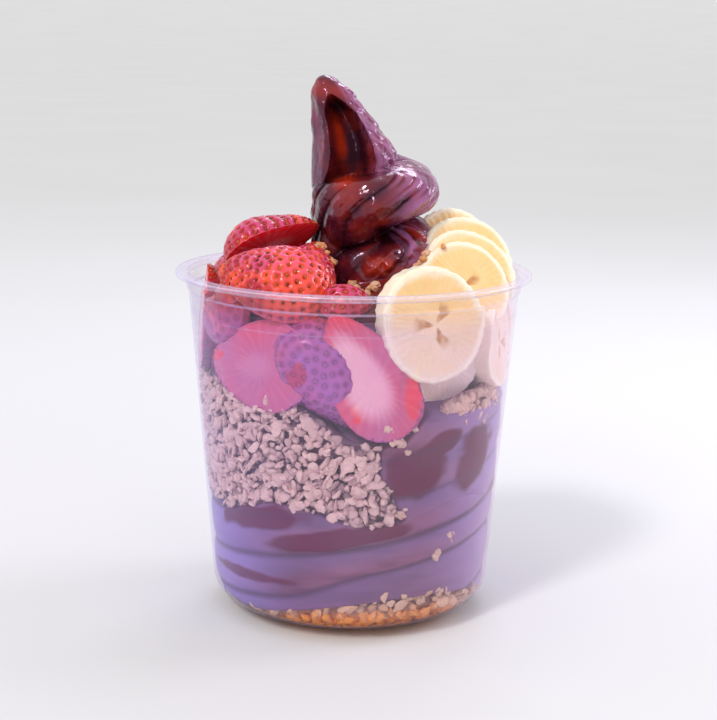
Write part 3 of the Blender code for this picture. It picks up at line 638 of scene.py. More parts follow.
def banana_look(settings):
    """Cream rim, cloudy warmer middle and three rays of seed marks."""
    look = Look("banana")
    cloud = look.noise(6 * MM, 3.0)
    base = look.mix(look.attribute("middle"), settings.cream, settings.yellow)
    base = look.mix(look.ramp(cloud, 0.4, 0.75, 0.0, 0.35), base, (0.93, 0.70, 0.42))
    base = look.mix(look.attribute("film"), base, (0.90, 0.70, 0.75))
    base = look.mix(look.attribute("mark"), base, settings.mark)
    look.bump(look.noise(0.9 * MM, 3.0), 0.2 * MM, 0.5)
    return look.set(
        Base_Color=base, Roughness=look.ramp(cloud, 0.3, 0.7, 0.26, 0.45), Subsurface_Weight=0.25,
        Subsurface_Radius=(1.0, 0.7, 0.35), Subsurface_Scale=3 * MM,
    )


def plastic_look(name, haze, left, right, gloss_share):
    """Thin clear plastic: light goes through, a share is scattered, and grazing angles add gloss.

    The gloss is a small share plus the fifth power of the grazing share, on both sides alike.
    """
    look = Look(name)
    look.tree.nodes.remove(look.shader)
    clear = look.add("ShaderNodeBsdfTransparent")
    milk = look.add("ShaderNodeBsdfDiffuse")
    gloss = look.add("ShaderNodeBsdfGlossy")
    edge = look.add("ShaderNodeLayerWeight")
    edge.inputs["Blend"].default_value = 0.5
    grazing = edge.outputs["Facing"]
    height = look.axis("Z")
    tint = look.mix(look.ramp(look.axis("X"), -45 * MM, 50 * MM), left, right)
    tint = look.mix(look.ramp(height, 107 * MM, 110 * MM, 0.0, 0.75), tint, (0.84, 0.80, 0.98))
    # darker scattered colour at the base, which makes the ring at the base's edge a painted dark line
    at_base = look.ramp(height, 6 * MM, 9 * MM, 0.85, 0.0)
    look.join(look.mix(at_base, tint, (0.16, 0.07, 0.10)), milk.inputs["Color"])
    look.feed(clear.inputs["Color"], (0.985, 0.98, 0.99))
    look.feed(gloss.inputs["Color"], (0.95, 0.93, 1.0))
    look.feed(gloss.inputs["Roughness"], 0.1)
    cloud = look.ramp(look.noise(24 * MM, 3.0), 0.3, 0.7, 0.75, 1.25)
    above = look.ramp(height, 99 * MM, 108 * MM, 1.0, 0.6)
    lip = look.ramp(height, CUP_HEIGHT - 2.6 * MM, CUP_HEIGHT - 1.4 * MM, 0.0, 0.13)
    veil = look.ramp(grazing, 0.15, 1.0, haze, min(1.0, haze * 3.2))
    share = look.math("ADD", look.math("MULTIPLY", look.math("MULTIPLY", veil, cloud), above), lip)
    # painted highlight rings on the steps and lip, and the painted dark line at the base's edge
    for level, half, strength in PAINTED_LIGHT_RINGS:
        off = look.math("ABSOLUTE", look.math("SUBTRACT", height, level * MM), 0.0)
        share = look.math("MAXIMUM", share, look.ramp(off, half * 0.3 * MM, half * MM, strength, 0.0))
    shine = look.math("MULTIPLY", look.math("POWER", grazing, 5.0), 0.75 * gloss_share)
    shine = look.math("ADD", shine, 0.022 * gloss_share)
    cloudy = look.blend(share, clear.outputs["BSDF"], milk.outputs["BSDF"])
    look.join(look.blend(shine, cloudy, gloss.outputs["BSDF"]), look.output.inputs["Surface"])
    return look.material


def wall_line(heights, outer=False, out=0.0):
    """Pairs of radius and height along the wall."""
    return np.column_stack([wall_radius(heights, outer) + out, heights])


def cup_profile():
    """Radius and height up the inside, round the rolled lip and down the outside."""
    low_inside = WALL + (BASE_CURVE_HEIGHT - WALL) * (1.0 - np.cos(np.linspace(0.0, pi / 2, 12)))
    low_outside = BASE_CURVE_HEIGHT * (1.0 - np.cos(np.linspace(pi / 2, 0.0, 40)))
    base_edge = 0.35 * MM * np.exp(-((low_outside - 4.6 * MM) / (0.35 * MM)) ** 2)
    step = np.array([(0.25, 0.25), (0.55, 0.8), (0.8, 1.2)]) * MM
    inside = COLLAR_RADIUS - WALL
    lip_height = CUP_HEIGHT - LIP_RADIUS
    inner = np.concatenate([
        [(BASE_FLAT_RADIUS * 0.5, WALL)],
        wall_line(low_inside),
        wall_line(np.linspace(16 * MM, COLLAR_BOTTOM, 14)),
        np.array([float(wall_radius(COLLAR_BOTTOM)), COLLAR_BOTTOM]) + step,
        [(inside, COLLAR_BOTTOM + 2 * MM), (inside, lip_height)],
        [(inside + 0.25 * MM, CUP_HEIGHT - 0.3 * MM), (COLLAR_RADIUS + 0.3 * MM, CUP_HEIGHT)],
    ])
    roll = np.linspace(pi / 2, -pi / 2, 10)
    rolled = (RIM_RADIUS - LIP_RADIUS + LIP_RADIUS * np.cos(roll), lip_height + LIP_RADIUS * np.sin(roll))
    outer = np.concatenate([
        np.column_stack(rolled),
        [(COLLAR_RADIUS + 0.4 * MM, CUP_HEIGHT - 2.0 * MM), (COLLAR_RADIUS, CUP_HEIGHT - 2.6 * MM)],
        [(COLLAR_RADIUS, COLLAR_BOTTOM + 1.6 * MM), (COLLAR_RADIUS - 0.2 * MM, COLLAR_BOTTOM + 0.7 * MM)],
        [(WALL_TOP_RADIUS, COLLAR_BOTTOM)],
        wall_line(COLLAR_BOTTOM - np.array([6.0, 6.6, 7.2]) * MM, True, np.array([0.0, 0.12, 0.0]) * MM),
        wall_line(np.linspace(COLLAR_BOTTOM - 14 * MM, 16 * MM, 12), True),
        wall_line(low_outside, True, base_edge),
        [(BASE_FLAT_RADIUS * 0.5, 0.0)],
    ])
    return np.concatenate([inner, outer]), len(inner)


def wall_depth(azimuth, height):
    """How far the soft serve stands back from the wall to leave room for the fruit."""
    behind = ease_up(np.abs(azimuth), radians(155), radians(15))
    aside = ease_up(azimuth, radians(88), radians(25))
    start = FRUIT_ZONE_START + (FRUIT_ZONE_BACK_START - FRUIT_ZONE_START) * aside
    in_front = ease_up(azimuth, radians(-28), radians(14)) * ease_down(azimuth, radians(30), radians(12))
    start = start - 9 * MM * in_front
    return FRUIT_ZONE_DEPTH * ease_up(height, start, 6 * MM) * (1.0 - behind)


def base_granola_top(azimuth):
    """Two low waves round the wall."""
    return BASE_GRANOLA_TOP + BASE_GRANOLA_WAVE * np.cos(2.0 * (azimuth - radians(25)))


def lower_top(azimuth):
    """Five low waves round the wall, and a rise on the right."""
    waves = LOWER_WAVE * np.cos(5.0 * (azimuth + radians(27)))
    return LOWER_TOP + waves + LOWER_RISE * np.clip(np.sin(azimuth - radians(20)), 0.0, 1.0)


def middle_top(azimuth):
    """Low at the front right, high on the left and behind, where it is wavy."""
    at_left = ease_down(azimuth, radians(3), radians(33))
    behind = ease_up(azimuth, radians(60), radians(60))
    tilt = MIDDLE_TILT * np.clip(-np.sin(azimuth), 0.0, 1.0)
    tilt = tilt + 0.9 * MM * np.sin(7.0 * azimuth) * behind
    return MIDDLE_LOW + MIDDLE_RISE * np.maximum(at_left, behind) + tilt


def rope_fold(azimuth, height):
    """0 on the crown of a rope that winds up round the wall, 1 where two of them meet."""
    return (2.0 * np.abs(rope_share(azimuth, height) - 0.5)) ** 3


def rope_share(azimuth, height):
    """0 at a rope's lower edge and 1 at its upper one; two ropes climb through each turn."""
    climb = 2.0 * ROPE_HEIGHT * (azimuth / (2.0 * pi) + 0.14 * np.sin(azimuth - radians(30))) + 5 * MM
    at_right = ease_up(azimuth, radians(-30), radians(40)) * ease_down(azimuth, radians(100), radians(40))
    lifted = 5 * MM * at_right * np.exp(-((height - climb - 17 * MM) / (6 * MM)) ** 2)
    return ((height - lifted - climb) / ROPE_HEIGHT) % 1.0


def rope_dusk(azimuth, height):
    """How far a rope's upper half is in its own shade."""
    return ease_up(rope_share(azimuth, height), 0.3, 0.6)


def wet_share(azimuth, height):
    """Soft oval patches, ragged at their edges, where the soft serve touches the plastic."""
    spot = polar(azimuth, 50 * MM, height)
    ragged = 0.30 * fractal(spot, 7 * MM, 3)
    total = np.zeros(np.broadcast(azimuth, height).shape)
    for middle, level, half_width, half_height, tilt in WET_PATCHES:
        aside = (np.degrees(azimuth) - middle + 180.0) % 360.0 - 180.0
        along = aside / half_width
        above = (height / MM - level - tilt * aside) / half_height
        total = np.maximum(total, ease_down(np.hypot(along, above) - ragged, 1.22, 0.36))
    return total


def lower_soft_serve_mesh():
    """Ropes wound round the wall: the radius dips at each fold and touches the plastic between."""
    azimuth = around(FILL_COLUMNS)
    low = base_granola_top(azimuth) - 1.5 * MM
    height = low + (lower_top(azimuth) - low) * capped_shares(64)
    fold = rope_fold(azimuth, height)
    wet = wet_share(azimuth, height)
    uneven = 1.3 + noise(polar(azimuth, 45 * MM, height), 8 * MM, 4)
    depth = ROPE_FOLD * 0.45 * fold * (1.0 - wet) + 0.25 * MM * (1.0 - 0.7 * wet) * uneven
    radius = fill_radius(height) - depth
    radius[0] = fill_radius(height[0]) * 0.5
    radius[-1] = radius[-2] * LEVEL_SHARE
    mesh = ring_mesh("acai_lower", polar(azimuth, radius, height))
    # the mask of the painted shade in the folds, weaker where the soft serve lies wet
    fold = ease_up(fold, 0.35, 0.6) * (1.0 - 0.6 * wet)
    paint(mesh, wet=wet, fold=fold, dusk=rope_dusk(azimuth, height))
    return mesh


def granola_region(azimuth, height):
    """1 inside the part of the wall that the middle granola covers, 0 outside it, soft at the edge."""
    right = np.interp(height / MM, *GRANOLA_EDGE)
    degrees = np.degrees(azimuth)
    degrees = np.where(degrees > 90.0, degrees - 360.0, degrees)
    behind = -193.0 + 5.0 * np.sin(height / (3.1 * MM)) + 4.0 * np.sin(height / (7.3 * MM))
    sideways = np.minimum(ease_down(degrees, right, 3.0), ease_up(degrees, behind, 3.0))
    above_lower = ease_up(height, lower_top(azimuth), 1.5 * MM)
    below_top = ease_down(height, middle_top(azimuth), 1.5 * MM)
    return sideways * np.minimum(above_lower, below_top)


def curl_section(azimuth, height):
    """The neck and the horn: an oval whose left side is upright and whose right side slants in."""
    right = HORN_RIGHT_X - HORN_RIGHT_SLOPE * np.clip(height - HORN_START, 0.0, None)
    half_width = np.minimum((right - HORN_LEFT_X) / 2.0, NECK_HALF_WIDTH)
    centre = HORN_LEFT_X + half_width
    centre = centre + (CURL_CENTRE_X - centre) * ease_down(height, NECK_TOP, 20 * MM)
    half_depth = NECK_HALF_DEPTH * half_width / NECK_HALF_WIDTH + 0.8 * MM
    from_tip = np.clip((CURL_TIP - height) / (BEAD_RADIUS * 1.1), 0.0, 1.0)
    rounding = np.sqrt(1.0 - (1.0 - from_tip) ** 2)
    half_width = np.maximum(half_width, BEAD_RADIUS) * rounding
    half_depth = np.maximum(half_depth, BEAD_RADIUS) * rounding
    return centre, 1.0 / np.sqrt((np.sin(azimuth) / half_width) ** 2 + (np.cos(azimuth) / half_depth) ** 2)


def hollow_edges(height):
    """The two ridges beside the hollow, as x at a height."""
    return np.interp(height / MM, *LEFT_RIDGE) * MM, np.interp(height / MM, *RIGHT_RIDGE) * MM


def hollow_share(x, height, front):
    """How deep the hollow is between its ridges: u is -1 at the left ridge and 1 at the right one."""
    left, right = hollow_edges(height)
    u = np.clip((x - (left + right) / 2.0) / ((right - left) / 2.0), -1.0, 1.0)
    across = (1.0 - np.abs(u) ** 2.2) ** 0.8
    top = HOLLOW_TOP + (1.2 - 5.0 * (u - 0.1) ** 2) * MM
    ends = ease_down(height, top, 4.2 * MM) * ease_up(height, HOLLOW_BOTTOM - 5 * MM, 6 * MM)
    return np.nan_to_num(across) * ends * front, u


def turn_height(azimuth, turn):
    """The height of a turn's point: it climbs across the front and falls back behind."""
    climb = np.arcsin(np.sin(azimuth))
    return np.interp(turn + (climb - pi / 2.0) / (2.0 * pi), TURNS, TURN_HEIGHTS)


def curl_frame(azimuth, height):
    """Where a point lies on the curl: its turn, how far the rope swells there, and its plain radius."""
    centre, oval = curl_section(azimuth, height)
    turn = np.interp(height, TURN_HEIGHTS, TURNS) - (azimuth - pi / 2.0) / (2.0 * pi)
    left = ease_down(azimuth, radians(-35), radians(25)) * ease_down(height, 134 * MM, 6 * MM)
    swell = np.maximum(np.sin(pi * (turn % 1.0)) ** ROPE_FULLNESS, 1.05 * left)
    fade = 1.0 - ease_up(azimuth, radians(95), radians(80))
    on_rope = swell * np.where(turn < 0.0, 1.0, np.where(turn < 1.0, fade, 0.0))
    reach = np.maximum(ROPE_RADIUS - oval, 0.0)
    shift = np.where(turn < 1.0, (CURL_CENTRE_X - centre) * np.sin(azimuth), 0.0)
    return centre, turn, left, swell, on_rope, oval + (reach + shift) * on_rope


def curl_rings(azimuth, height, groove):
    """The oval plus the rope that winds round it, the nozzle's slanting grooves and the hollow.

    Gives the points, and masks of the painted shade in the folds, of the painted glow and of the painted
    sheen.
    """
    centre, turn, left, swell, on_rope, radius = curl_frame(azimuth, height)
    share, flank = turn % 1.0, 1.0 - on_rope
    plain = polar(azimuth, radius, height, centre)
    front = smooth_step(np.cos(azimuth) / 0.3)
    hollow, across = hollow_share(plain[..., 0], height, front * (1.0 - smooth_step(on_rope * 4.0)))

    # the nozzle's ribs slant along the rope, with streaks that follow them
    slant = 9.0 * azimuth / (2.0 * pi) - 2.1 * share + 0.16 * noise(plain, 9 * MM, 5)
    ribs = 1.0 - np.abs(2.0 * (slant % 1.0) - 1.0) ** 2.2
    streaks = noise(point_grid(slant * 9.0, azimuth * 1.2, height / (9 * MM)), 1.0, 26)

    # the horn's torn right side and the flat at its left
    tears = np.abs(noise(plain * np.array([1.0, 1.0, 0.5]) + plain[..., [2, 2, 2]] * 0.45, 3.0 * MM, 6))
    right_side = ease_up(azimuth, radians(38), radians(14))
    right_side = right_side * (1.0 - ease_up(azimuth, radians(140), radians(30)))
    facet = hump((azimuth + radians(70)) / radians(30))
    facet = facet * ease_up(height, 139 * MM, 6 * MM) * ease_down(height, 171 * MM, 7 * MM) * flank

    # the lumps of the lowest turn and the deep crease under the rope
    right = ease_up(azimuth, radians(-20), radians(30)) * ease_down(azimuth, radians(95), radians(30))
    low_turn = ease_down(turn, 0.0, 0.05) * ease_up(turn, -0.5, 0.2)
    lumps = fractal(plain, 5 * MM, 23)
    under = bell((turn - 0.02) / 0.10) * ease_up(azimuth, radians(2), radians(12))
    under = under * ease_down(azimuth, radians(88), radians(14))

    relief = groove * (ribs - 0.6) * on_rope
    relief = relief + 1.3 * MM * (0.35 - tears) * right_side * flank
    relief = relief + 0.5 * MM * fractal(plain, 6 * MM, 7) * (1.0 - hollow) * (1.0 - 0.9 * facet)
    relief = relief - 0.9 * MM * facet
    relief = relief + (1.5 * MM * lumps + 0.7 * MM * noise(plain, 2.2 * MM, 25)) * low_turn * right
    relief = relief + 0.20 * MM * streaks * on_rope
    dents = 0.45 * MM * noise(plain, 3.4 * MM, 31)
    relief = relief + dents * on_rope * ease_up(azimuth, radians(-50), radians(40))
    relief = relief - 5.5 * MM * under
    points = polar(azimuth, radius + relief, height, centre)
    points[..., 1] += HOLLOW_DEPTH * hollow

    # painted shade: the fold mask darkens the colour between the ropes, in the grooves, the hollow and the
    # crease under the rope, on the flat at the left and on the neck's left side, and dulls the gloss there
    fold = np.clip(1.0 - swell * 1.15, 0.0, 1.0) * np.where(turn < 1.0, 1.0, 0.25)
    fold = fold + (1.0 - ribs) ** 2 * on_rope + 0.95 * hollow + 1.4 * under
    fold = fold + 0.85 * facet + 0.7 * left * ease_up(azimuth, radians(-20), radians(-40))

    # painted glow where light would come through: the hollow's left half, its lip, the ribs in front, the
    # lumps and the tip
    warm = hump((across + 0.50) / 0.44) * smooth_step(hollow * 2.0)
    warm = warm * ease_up(height, 146 * MM, 8 * MM) * ease_down(height, 167 * MM, 8 * MM)
    inner_lip = ease_up(across, 0.6, 0.3) * hollow * 0.35
    middle = ease_up(azimuth, radians(-30), radians(30)) * ease_down(azimuth, radians(60), radians(30))
    glow = 0.95 * warm + inner_lip + 0.26 * ribs ** 3 * on_rope * (1.0 - 2.0 * under) * middle
    glow = glow + 0.95 * smooth_step(lumps + 0.6) * low_turn * right
    lump = bell((share - 0.93) / 0.12) * bell((azimuth + radians(10)) / radians(15))
    glow = glow + lump * (turn < 1.0) * (turn > 0.0)
    glow = glow + 0.6 * bell((height - CURL_TIP + 5 * MM) / (2.6 * MM)) * front ** 2

    # the painted sheen lies in streaks at the right, on the torn side and along the hollow's right ridge
    shine = ease_up(azimuth, radians(18), radians(34)) * ease_down(azimuth, radians(165), radians(30))
    shine = shine * (1.0 - under) * (0.34 + 0.70 * streaks + 0.2 * (ribs - 0.5)) * ease_up(turn, -0.10, 0.2)
    low_shine = 0.9 * low_turn * ease_up(azimuth, radians(24), radians(16)) * smooth_step(streaks + 0.35)
    torn = 0.85 * right_side * flank * ease_down(tears, 0.24, 0.16)
    rim = bell((plain[..., 0] - hollow_edges(height)[1] - 1.4 * MM) / (1.3 * MM)) * front * flank
    rim = 0.7 * rim * ease_up(height, 143 * MM, 4 * MM) * ease_down(height, 169 * MM, 4 * MM)
    painted_sheen = np.maximum(np.maximum(0.33 * facet, shine), np.maximum(torn, rim)) + low_shine
    return points, np.clip(fold, 0.0, 1.0), np.clip(glow, 0.0, 1.0), np.clip(painted_sheen, 0.0, 1.0)


def soft_serve_side(azimuth, height):
    """The filling's radius: at the wall, further in where the fruit and the middle granola are."""
    wet = wet_share(azimuth, height)
    folds = ROPE_FOLD * 0.5 * rope_fold(azimuth, height) * (1.0 - wet)
    uneven = 0.3 * MM * (1.0 - 0.7 * wet) * (1.3 + noise(polar(azimuth, 48 * MM, height), 7 * MM, 8))
    behind_granola = 5 * MM * granola_region(azimuth, height)
    return fill_radius(height) - wall_depth(azimuth, height) - folds - uneven - behind_granola


def shoulder_height(azimuth):
    """Where the filling's side turns in: higher in front than behind."""
    return SHOULDER_BACK + SHOULDER_RISE * ease_up(np.cos(azimuth), -0.4, 1.4)


def curl_mesh(groove):
    """Rows up the side of the filling, over its shoulder to the neck, up the rope and the horn."""
    azimuth = around(CURL_COLUMNS)
    shoulder = shoulder_height(azimuth)
    start = shoulder - 3.4 * MM
    side = start + (shoulder - start) * np.linspace(0.0, 1.0, 8)[:, None]
    lower = polar(azimuth, soft_serve_side(azimuth, side) - 0.1 * MM, side)
    foot_height = turn_height(azimuth, FOOT_TURN)
    foot = curl_rings(azimuth, foot_height, groove)[0]
    share = np.linspace(0.0, 1.0, 42)[1:-1, None]
    bridge = lower[-1] + (foot - lower[-1]) * share[..., None]
    bridge[..., 2] = shoulder + (foot_height - shoulder) * share ** 1.7
    lumps = 1.6 * MM * fractal(bridge, 11 * MM, 9) + 1.1 * MM * noise(bridge, 4 * MM, 10)
    bridge[..., 2] += lumps * np.sin(pi * share)
    rope_height = turn_height(azimuth, np.linspace(FOOT_TURN, 1.0, 120)[:, None])
    crease = turn_height(azimuth, 1.0)
    reach = np.sin(np.linspace(0.012, 0.999, 120) * pi / 2.0)[:, None]
    height = np.concatenate([rope_height, crease + (CURL_TIP - crease) * reach])
    rings, fold, glow, painted_sheen = curl_rings(azimuth, height, groove)
    mesh = ring_mesh("acai_curl", np.concatenate([lower, bridge, rings]))
    none = np.zeros((len(lower) + len(bridge), CURL_COLUMNS))
    syrup = 0.25 + 0.45 * smooth_step(noise(bridge, 7 * MM, 12) + 0.5)
    glow = np.concatenate([np.full_like(lower[..., 0], 0.1), syrup, glow])
    # painted shade in the folds, painted glow (on the bridge the glow colour is its syrup) and painted sheen
    paint(mesh, fold=np.concatenate([none, fold]), glow=glow, film=np.concatenate([none, painted_sheen]))
    return mesh


def packed_mesh():
    """The filling from the lower layer's top up to the shoulder."""
    azimuth = around(FILL_COLUMNS)
    low = lower_top(azimuth) - 0.2 * MM
    top = shoulder_height(azimuth) - 3 * MM
    height = low + (top - low) * capped_shares(110)
    radius = soft_serve_side(azimuth, height)
    radius[0] *= LEVEL_SHARE
    radius[-1] *= 0.5
    mesh = ring_mesh("acai_packed", polar(azimuth, radius, height))
    # the mask of the painted shade in the folds
    fold = ease_up(rope_fold(azimuth, height), 0.45, 0.55) * 0.6
    paint(mesh, wet=wet_share(azimuth, height), fold=fold, dusk=rope_dusk(azimuth, height))
    return mesh


def flake_shapes(spin):
    """A few oat shapes: balls of 42 points, dented by random waves; the scattering rolls them flat."""
    bm = bmesh.new()
    bmesh.ops.create_icosphere(bm, subdivisions=2, radius=0.5)
    ball = np.array([corner.co[:] for corner in bm.verts])
    faces = np.array([[corner.index for corner in face.verts] for face in bm.faces])
    bm.free()
    dents = [1.0 + 0.50 * noise(ball + spin.uniform(0, 50, 3), 0.33, 1) for _ in range(FLAKE_SHAPES)]
    return np.array([ball * dent[:, None] for dent in dents]), faces


def scatter(name, places, outward, sizes, thickness, shades, seed, film, syrup=None):
    """Oat flakes at given places, each with its own shape, turn and rock, pressed flat at the wall."""
    spin = np.random.default_rng(seed)
    shapes, faces = flake_shapes(spin)
    count, corners = len(places), shapes.shape[1]
    local = shapes[spin.integers(0, len(shapes), count)]
    breadth = sizes * spin.uniform(0.55, 0.95, count)
    local = local * np.stack([sizes, breadth, thickness * spin.uniform(0.7, 1.3, count)], 1)[:, None]
    rock = normalised(outward + spin.normal(0.0, 0.75, (count, 3)))
    side = normalised(np.cross(rock, spin.normal(0.0, 1.0, (count, 3))))
    basis = np.stack([side, np.cross(rock, side), rock], axis=1)
    points = np.einsum("nvk,nkj->nvj", local, basis) + places[:, None]
    room = fill_radius(np.maximum(points[..., 2], WALL))
    points[..., :2] *= np.minimum(1.0, room / np.maximum(reach_of(points), 1e-9))[..., None]
    points[..., 2] = np.maximum(points[..., 2], WALL * 0.8)
    triangles = faces[None] + (np.arange(count) * corners)[:, None, None]
    mesh = mesh_from(name, points.reshape(-1, 3), [], triangles.reshape(-1, 3), smooth=False)
    syrup = np.zeros(count) if syrup is None else syrup
    depth = fill_radius(np.clip(points[..., 2], WALL, CUP_HEIGHT)) - reach_of(points)
    inside = ease_down(points[..., 2], COLLAR_BOTTOM, 3 * MM)
    # painted shade: flakes further in from the wall turn darker
    deep = 0.75 * ease_up(depth, 1.0 * MM, 2.6 * MM) * inside * (1.0 - 0.8 * syrup[:, None])
    paint(mesh, shade=np.repeat(shades, corners), syrup=np.repeat(syrup, corners))
    paint(mesh, film=(film * inside).ravel(), deep=deep.ravel())
    return mesh


def wall_places(spin, first, last, low, high, spacing):
    """Jittered places in rows against the wall, and as many behind them."""
    places, outward = [], []
    step = spacing / (48 * MM)
    azimuths, heights = np.meshgrid(np.arange(first, last, step), np.arange(low, high, spacing * 0.8))
    for layer in range(2):
        azimuth = azimuths + step * spin.uniform(-0.55, 0.55, azimuths.shape)
        height = heights + spacing * spin.uniform(-0.5, 0.5, azimuths.shape)
        depth = (0.9 + 1.7 * layer) * MM + spin.uniform(0, 1.5 * MM, azimuths.shape)
        spot = polar(azimuth, fill_radius(np.maximum(height, WALL)) - depth, height)
        places.append(spot.reshape(-1, 3))
        outward.append(polar(azimuth, 1.0, 0.0).reshape(-1, 3))
    return np.concatenate(places), np.concatenate(outward)


def middle_core_mesh():
    """The heap behind the flakes: a drum that stops at a straight right edge, dented all over."""
    azimuth = around(FILL_COLUMNS)
    to_wall = fill_radius(LOWER_TOP) - 3.6 * MM
    outline = np.minimum(to_wall, (MIDDLE_EDGE - 1 * MM) / np.maximum(np.sin(azimuth), 0.05))
    low = lower_top(azimuth) - 1.0 * MM
    top = middle_top(azimuth) - 0.5 * MM
    height = low + (top - low) * capped_shares(34, high=2)
    radius = outline + fill_radius(height) - fill_radius(LOWER_TOP)
    radius = radius + 0.9 * MM * fractal(polar(azimuth, radius, height), 3.4 * MM, 13)
    radius[0] *= 0.8
    radius[-2] *= 0.8
    radius[-1] *= 0.4
    mesh = ring_mesh("granola_core", polar(azimuth, radius, height))
    # the core is fully dark: painted shade behind the flakes
    paint(mesh, shade=np.full(height.shape, 1.0), syrup=np.zeros(height.shape), deep=np.ones(height.shape))
    return mesh


def base_core_mesh():
    """The heap behind the base's flakes: a low drum, dented all over, amber where syrup stands."""
    azimuth = around(160)
    top = base_granola_top(azimuth)
    floor = WALL + 0.2 * MM
    height = floor + (top - floor) * capped_shares(20)
    radius = fill_radius(height) - 2.4 * MM
    radius = radius + 0.8 * MM * fractal(polar(azimuth, radius, height), 3.4 * MM, 14)
    radius[0] = BASE_FLAT_RADIUS * 0.6
    radius[-1] *= 0.6
    mesh = ring_mesh("granola_base_core", polar(azimuth, radius, height))
    syrup = base_syrup(azimuth, height)
    # the core is dark except where syrup stands: painted shade behind the flakes
    paint(mesh, shade=np.full(height.shape, 1.0), syrup=syrup, deep=0.7 * (1.0 - 0.8 * syrup))
    return mesh


def base_syrup(azimuth, height):
    """Amber syrup at the bottom, deepest a little right of the front."""
    aside = np.abs((azimuth - radians(12) + pi) % (2.0 * pi) - pi)
    depth = (13.0 - 6.5 * ease_up(aside, radians(24), radians(40))) * MM
    return smooth_step((depth - height) / (7.0 * MM))


def clump_places(spin, count):
    """Points on the outer half of a flattened ball that lies against the wall."""
    direction = normalised(spin.normal(0.0, 1.0, (count, 3)))
    direction[:, 2] *= CLUMP_HEIGHT / CLUMP_WIDTH
    direction[:, 2] += 0.06
    angle = CLUMP_AZIMUTH - radians(1) + direction[:, 0] * CLUMP_WIDTH * 0.68 / (50 * MM)
    height = CLUMP_LEVEL + direction[:, 2] * CLUMP_WIDTH * 0.55
    depth = CLUMP_DEPTH * 0.5 * (1.0 - direction[:, 1]) * 0.6
    return polar(angle, fill_radius(height) - 1.2 * MM - depth, height), polar(angle, 1.0, 0.0)


def clump_core_mesh():
    """The clump's middle: a flattened ball against the wall."""
    azimuth = around(64)
    level = np.linspace(-1.0, 1.0, 26)[1:-1, None]
    ring = np.sqrt(1.0 - level ** 2)
    local = point_grid(
        ring * np.sin(azimuth) * (CLUMP_WIDTH / 2.0),
        ring * np.cos(azimuth) * (CLUMP_DEPTH / 2.0),
        level * CLUMP_HEIGHT / 2.0,
    )
    local = local * (1.0 + 0.10 * fractal(local, 4 * MM, 15))[..., None]
    reach = float(fill_radius(CLUMP_LEVEL)) - CLUMP_DEPTH / 2.0 - 0.8 * MM
    across = np.array([cos(CLUMP_AZIMUTH), sin(CLUMP_AZIMUTH), 0.0])
    outward = np.array([sin(CLUMP_AZIMUTH), -cos(CLUMP_AZIMUTH), 0.0])
    points = local[..., [0]] * across - local[..., [1]] * outward + outward * reach
    points[..., 2] = CLUMP_LEVEL + local[..., 2]
    mesh = ring_mesh("granola_clump_core", points)
    plain = np.zeros(points.shape[:2])
    # the core is dark: painted shade behind the flakes
    paint(mesh, shade=plain + 0.9, syrup=plain, deep=plain + 0.8)
    return mesh


def standing_axes(azimuth, lean, roll, skin_out):
    """Axes of a fruit piece: X along its length, Z out of its skin side, leaning back at the top."""
    outward = Vector((sin(azimuth), -cos(azimuth), 0.0))
    sideways = Vector((cos(azimuth), sin(azimuth), 0.0))
    tilt = Matrix.Rotation(-lean, 3, sideways)
    facing = tilt @ outward
    length = (tilt @ Vector((0.0, 0.0, 1.0))) * cos(roll) + sideways * sin(roll)
    skin = facing if skin_out else -facing
    return np.array([length, skin.cross(length), skin])


def room_at(height):
    """How far out fruit may reach at a height: to the wall, or above the cup to its rim."""
    return np.where(height < CUP_HEIGHT + FRUIT_GAP, wall_radius(height), RIM_RADIUS) - FRUIT_GAP


def reach_to_wall(points, outward, low, high):
    """How far points can slide outward before they meet the wall, by halving the range."""
    room = room_at(points[:, 2])
    for _ in range(40):
        middle = (low + high) / 2.0
        fits = np.all(reach_of(points + outward * middle) <= room)
        low, high = (middle, high) if fits else (low, middle)
    return low


def berry_taper(along):
    """How wide a berry is along its length: full near the stalk, drawn in towards the tip."""
    return 1.10 - 0.34 * (along + 0.35) - 0.10 * along ** 2


def berry_grid(length, width, depth):
    """Half a strawberry: a dome drawn out to a tip at +X, then its rounded edge and flat cut face."""
    turn = around(150)
    dome = np.linspace(0.02, 1.0, 46)[:, None] * pi / 2.0
    flat = np.linspace(1.0, 0.02, 24)[1:, None]
    sphere = point_grid(np.sin(dome) * np.cos(turn), np.sin(dome) * np.sin(turn), np.cos(dome))
    face = point_grid(flat * np.cos(turn), flat * np.sin(turn), 0.0)
    unit = np.concatenate([sphere, face])
    along, taper = unit[..., 0], berry_taper(unit[..., 0])
    across, out = unit[..., 1] * taper * width / 2.0, unit[..., 2] * taper * depth
    points = point_grid(along * length / 2.0, across, out)
    edge = np.concatenate([np.zeros(len(dome)), np.clip((flat[:, 0] - 0.93) / 0.07, 0.0, 1.0)])
    points[..., 2] += 0.45 * MM * (edge * (1 - edge) * 4)[:, None]
    cut = np.concatenate([np.zeros(len(dome)), np.ones(len(flat))])
    cut[len(dome) - 1] = 0.5
    return points[::-1], unit[::-1], np.repeat(cut[::-1, None], len(turn), 1)


def berry_seeds(length, width, depth):
    """Places of the seeds on the dome: rings from its crown down, each turned by half a step."""
    rings = max(3, int(round(pi / 2 * (width / 2 + depth) / 2 / SEED_SPACING)))
    unit = []
    for ring in range(rings):
        down = (ring + 0.6) / (rings + 0.15) * pi / 2.0
        count = max(3, int(round(pi * (length + width) / 2 * sin(down) / (SEED_SPACING * 1.15))))
        turn = (np.arange(count) + 0.5 * (ring % 2)) / count * 2.0 * pi
        unit.append(point_grid(sin(down) * np.cos(turn), sin(down) * np.sin(turn), cos(down)))
    unit = np.concatenate(unit)
    taper = berry_taper(unit[:, 0])
    scale = np.array([length / 2.0, width / 2.0, depth])
    return unit * np.stack([np.ones_like(taper), taper, taper], -1) * scale, unit


